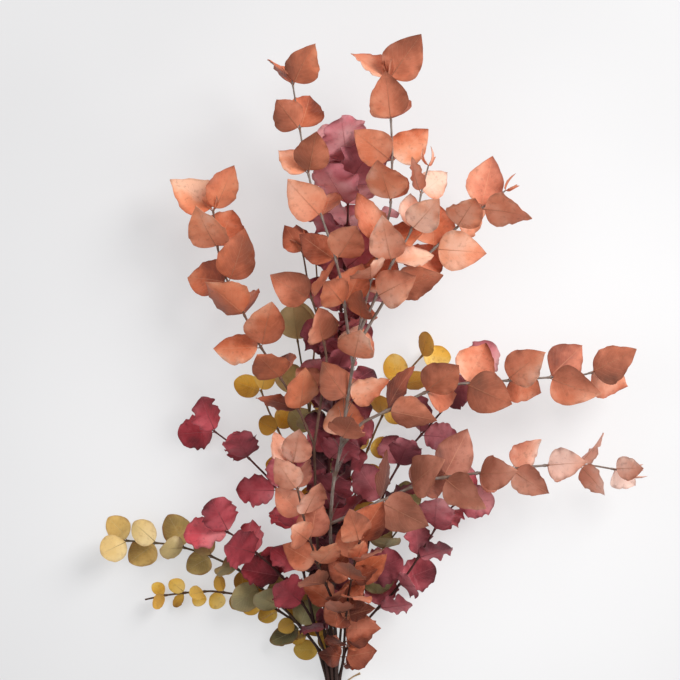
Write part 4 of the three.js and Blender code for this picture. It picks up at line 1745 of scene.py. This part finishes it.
    def build_wood(self, lines: list[Line]) -> bpy.types.Object:
        """Makes the piece that holds the wood, swollen where its leaves stand.

        Args:
            lines: The stem's lines.

        Returns:
            The piece.
        """
        parts = MeshParts()
        for line in lines:
            middle, radius = line.smooth(self.wood_step)
            run = lengths_along(middle)
            pairs = line.pairs
            for pair in range(pairs.count):
                at = mix(pairs.first, pairs.last, pair / (pairs.count - 1))
                radius = radius * (1 + self.node_swell * np.exp(-(((run - at) / self.node_width) ** 2)))
            uneven = radius[:, None] * self.unevenness(run, line.shoot)
            tube(parts, middle, uneven, self.wood_sides, {"run": run})
            if self.stem.bark is Bark.GREY and line.shoot == 0:
                low, high = self.peeled
                self.peel.add(parts, middle[(run > low) & (run < high)])
        return parts.build(self.stem.name + "_wood")

    def build(self) -> list[bpy.types.Object]:
        """Makes both pieces.

        Returns:
            The leaves and the wood.
        """
        lines = self.lines()
        return [self.build_leaves(lines), self.build_wood(lines)]

    def dress(
        self, pieces: list[bpy.types.Object], leaf: bpy.types.Material, bark: bpy.types.Material
    ) -> None:
        """Gives both pieces their finish and their place in the model.

        Args:
            pieces: The leaves and the wood.
            leaf: The leaves' material.
            bark: The wood's material.
        """
        leaves, wood = pieces
        leaves.data.materials.append(leaf)
        wood.data.materials.append(bark)
        for piece in pieces:
            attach(piece, "root")
            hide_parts(self.stem.name)


@dataclass
class TwineTie:
    """The twine: turns round the stems, a knot and two ends, as a cord of three twisted strands."""

    node: str = TWINE_NODE
    radius: float = 0.8
    turns: int = 3
    pitch: float = 1.9
    start: float = 18.0
    turn_steps: int = 36
    gap: float = 0.3
    strands: int = 3
    strand_radius: float = 0.42
    lay: float = 5.5
    step: float = 0.7
    rounding: int = 4
    cord_sides: int = 7
    knot_turns: float = 1.06
    knot_lean: float = 0.35
    knot_middle: Point = (2.4, 21.8, 15.9)
    knot_radius: float = 1.7
    lower_end: tuple[Point, ...] = (
        (27, 38, 0.9), (20, 35, 1.8), (13, 31, 7), (9, 27, 12.8), (5, 23, 15.2),
    )
    upper_end: tuple[Point, ...] = (
        (-1, 22, 14.9), (-6, 20, 14), (-11.5, 17, 9), (-15, 13, 3.5), (-21, 7, 0.9),
    )
    spread: float = 0.95
    frayed_spread: float = 1.6
    frayed_reach: float = 3.0
    fray: Fray = Fray(260, 0.5, (0.6, 1.6), (1.5, 4.0), (0.03, 0.07), 7)

    def route(self) -> np.ndarray:
        """The cord's middle line from one end to the other.

        Returns:
            The points in mm.
        """
        points = [np.array(p, float) for p in self.lower_end]
        clear = self.gap + self.radius
        for i in range(self.turns * self.turn_steps + 1):
            angle = (0.25 + i / self.turn_steps) * TAU
            out = np.array([math.cos(angle), 0.0, math.sin(angle)])
            reach = [np.array(stem.route[0], float) + out * (stem.radius + clear) for stem in STEMS]
            point = max(reach, key=lambda p: float(p @ out))
            point[1] = self.start + self.pitch * i / self.turn_steps
            points.append(point)
        points.extend(np.array(p, float) for p in self.upper_end)
        return np.array(points)

    def evened(self, route: np.ndarray) -> np.ndarray:
        """The route with even, smooth steps.

        Args:
            route: The cord's middle line.

        Returns:
            The same line with its corners rounded.
        """
        line = spaced(route, int(lengths_along(route)[-1] / self.step))
        for _ in range(self.rounding):
            line[1:-1] = (line[:-2] + 2 * line[1:-1] + line[2:]) / 4
        return line

    def strand_lines(self, line: np.ndarray, frayed: bool) -> list[np.ndarray]:
        """The middle lines of the strands.

        Args:
            line: The cord's middle line.
            frayed: Spreads the strands at both ends.

        Returns:
            One line for each strand.
        """
        along = tangents(line)
        side = np.cross(along, UP)
        side = side / np.maximum(np.linalg.norm(side, axis=1, keepdims=True), 1e-6)
        above = np.cross(side, along)
        run = np.arange(len(line)) * self.step
        spread = np.full(len(line), self.strand_radius * self.spread)
        if frayed:
            from_end = np.minimum(run, run[-1] - run)
            spread = spread * (1 + self.frayed_spread * np.exp(-from_end / self.frayed_reach))
        found = []
        for k in range(self.strands):
            angle = TAU * (run / self.lay + k / self.strands)
            offset = side * (np.cos(angle) * spread)[:, None] + above * (np.sin(angle) * spread)[:, None]
            strand = line + offset
            strand[:, 2] = np.maximum(strand[:, 2], self.strand_radius + 0.02)
            found.append(strand)
        return found

    def knot_line(self) -> np.ndarray:
        """The ring of the knot, a turn and a bit.

        Returns:
            The points in mm.
        """
        angle = np.linspace(0, TAU * self.knot_turns, int(TAU * self.knot_radius / self.step) + 2)
        lean = np.linspace(-self.knot_lean, self.knot_lean, len(angle))
        ring = [lean, np.cos(angle) * self.knot_radius, np.sin(angle) * self.knot_radius]
        return np.array(self.knot_middle) + np.stack(ring, axis=1)

    def build(self) -> bpy.types.Object:
        """Makes the twine.

        Returns:
            The piece.
        """
        parts = MeshParts()
        line = self.evened(self.route())
        for cord, frayed in ((line, True), (self.knot_line(), False)):
            for strand in self.strand_lines(cord, frayed):
                run = np.arange(len(strand)) * self.step
                tube(parts, strand, np.full(len(strand), self.strand_radius), self.cord_sides, {"run": run})
        self.fray.add(parts, line)
        return parts.build("twine_cord")

    def dress(self, piece: bpy.types.Object, material: bpy.types.Material) -> None:
        """Gives the twine its finish and its place in the model.

        Args:
            piece: The twine.
            material: Its material.
        """
        piece.data.materials.append(material)
        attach(piece, "root")
        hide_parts(self.node)


@dataclass(frozen=True)
class SoftLight:
    """A square light: its place and side in metres, its power in watts and its colour."""

    name: str
    at: Point
    size: float
    power: float
    colour: Point

    def add(self, target: Point) -> None:
        """Adds the light, so that it shines at a point.

        Args:
            target: The point in metres.
        """
        data = bpy.data.lights.new(self.name, "AREA")
        data.size = self.size
        data.energy = self.power
        data.color = self.colour
        light = bpy.data.objects.new(self.name, data)
        light.location = self.at
        light.rotation_euler = (Vector(target) - Vector(self.at)).to_track_quat("-Z", "Y").to_euler()
        bpy.context.scene.collection.objects.link(light)


@dataclass
class Studio:
    """The pale floor with its painted glow, brightest in a pool round the bunch, the soft lights, and the
    camera above the bunch.
    """

    key: SoftLight = SoftLight("key light", (1.6, 1.2, 1.6), 1.5, 66, (1.0, 0.98, 0.95))
    fill: SoftLight = SoftLight("fill light", (-1.6, 0.2, 1.5), 1.6, 8, (0.94, 0.96, 1.0))
    lit_point: Point = (0, 0, 0.05)
    sky: float = 0.6
    floor_half: float = 12.0
    centre: tuple[float, float] = (-0.0289, 0.0415)
    mid_height: float = 0.08
    distance: float = 1.93
    view_width: float = 0.68
    sensor: float = 36.0
    floor_colour: Colour = (166, 166, 168)
    # painted light: how strongly the floor glows at its edge and in its middle, where the middle is, and how
    # far the glow reaches
    glow: float = 0.34
    middle_glow: float = 0.5
    glow_middle: Point = (0.08, -0.06, 0.0)
    glow_reach: tuple[float, float] = (0.1, 0.6)

    def add_floor(self) -> None:
        """Adds the floor."""
        mesh = bpy.data.meshes.new("floor")
        half = self.floor_half
        corners = [(-half, -half, 0), (half, -half, 0), (half, half, 0), (-half, half, 0)]
        mesh.from_pydata(corners, [], [(0, 1, 2, 3)])
        floor = bpy.data.objects.new("floor", mesh)
        bpy.context.scene.collection.objects.link(floor)
        material, graph, shader = new_material("pale floor")
        cloud = graph.span(graph.noise(graph.place(), 3.0, 2), 0.3, 0.7)
        paler = tuple(c - 4 for c in self.floor_colour)
        graph.feed(shader.inputs["Base Color"], graph.blend(cloud, srgb(self.floor_colour), srgb(paler)))
        shader.inputs["Roughness"].default_value = 0.9
        # painted light: the floor glows, brightest in a pool round the bunch, which washes out the shadows on
        # it
        points = {0: graph.place(), 1: self.glow_middle}
        apart = graph.node("ShaderNodeVectorMath", points, operation="DISTANCE")
        glow = graph.span(apart.outputs["Value"], *self.glow_reach, self.middle_glow, self.glow)
        shader.inputs["Emission Color"].default_value = (1.0, 1.0, 1.0, 1.0)
        graph.feed(shader.inputs["Emission Strength"], glow)
        mesh.materials.append(material)

    def add_lights(self) -> None:
        """Adds the lights and the even sky."""
        for light in (self.key, self.fill):
            light.add(self.lit_point)
        world = bpy.data.worlds.new("even sky")
        bpy.context.scene.world = world
        world.use_nodes = True
        background = world.node_tree.nodes["Background"]
        background.inputs["Color"].default_value = (1.0, 1.0, 1.0, 1.0)
        background.inputs["Strength"].default_value = self.sky

    def add_camera(self) -> None:
        """Adds the camera, straight above, with the photograph's upper side towards the leaf tips."""
        data = bpy.data.cameras.new("camera")
        data.sensor_width = self.sensor
        data.lens = self.sensor * self.distance / self.view_width
        camera = bpy.data.objects.new("camera", data)
        camera.location = (*self.centre, self.mid_height + self.distance)
        bpy.context.scene.collection.objects.link(camera)
        bpy.context.scene.camera = camera

    def build(self) -> None:
        """Builds the whole studio."""
        self.add_floor()
        self.add_lights()
        self.add_camera()
        bpy.context.scene.view_settings.view_transform = "Standard"


def main() -> None:
    """Builds the studio, the branches and the twine, and notes how many leaves and faces they have."""
    logging.basicConfig(level=logging.INFO, format="%(message)s")
    Studio().build()
    effects = Effects()
    leaf_materials = {kind: finish.material(effects) for kind, finish in LEAF_FINISHES.items()}
    barks = {bark: finish.material(effects) for bark, finish in BARK_FINISHES.items()}
    room = Room()
    for number, stem in enumerate(STEMS):
        branch = LeafyStem(number, stem, room)
        pieces = branch.build()
        branch.dress(pieces, leaf_materials[stem.kind], barks[stem.bark])
        LOG.info("%s: %s faces", stem.name, [len(piece.data.polygons) for piece in pieces])
    tie = TwineTie()
    cord = tie.build()
    tie.dress(cord, TWINE_FINISH.material(effects))
    LOG.info("twine: %d faces", len(cord.data.polygons))
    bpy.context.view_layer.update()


if __name__ == "__main__":
    main()
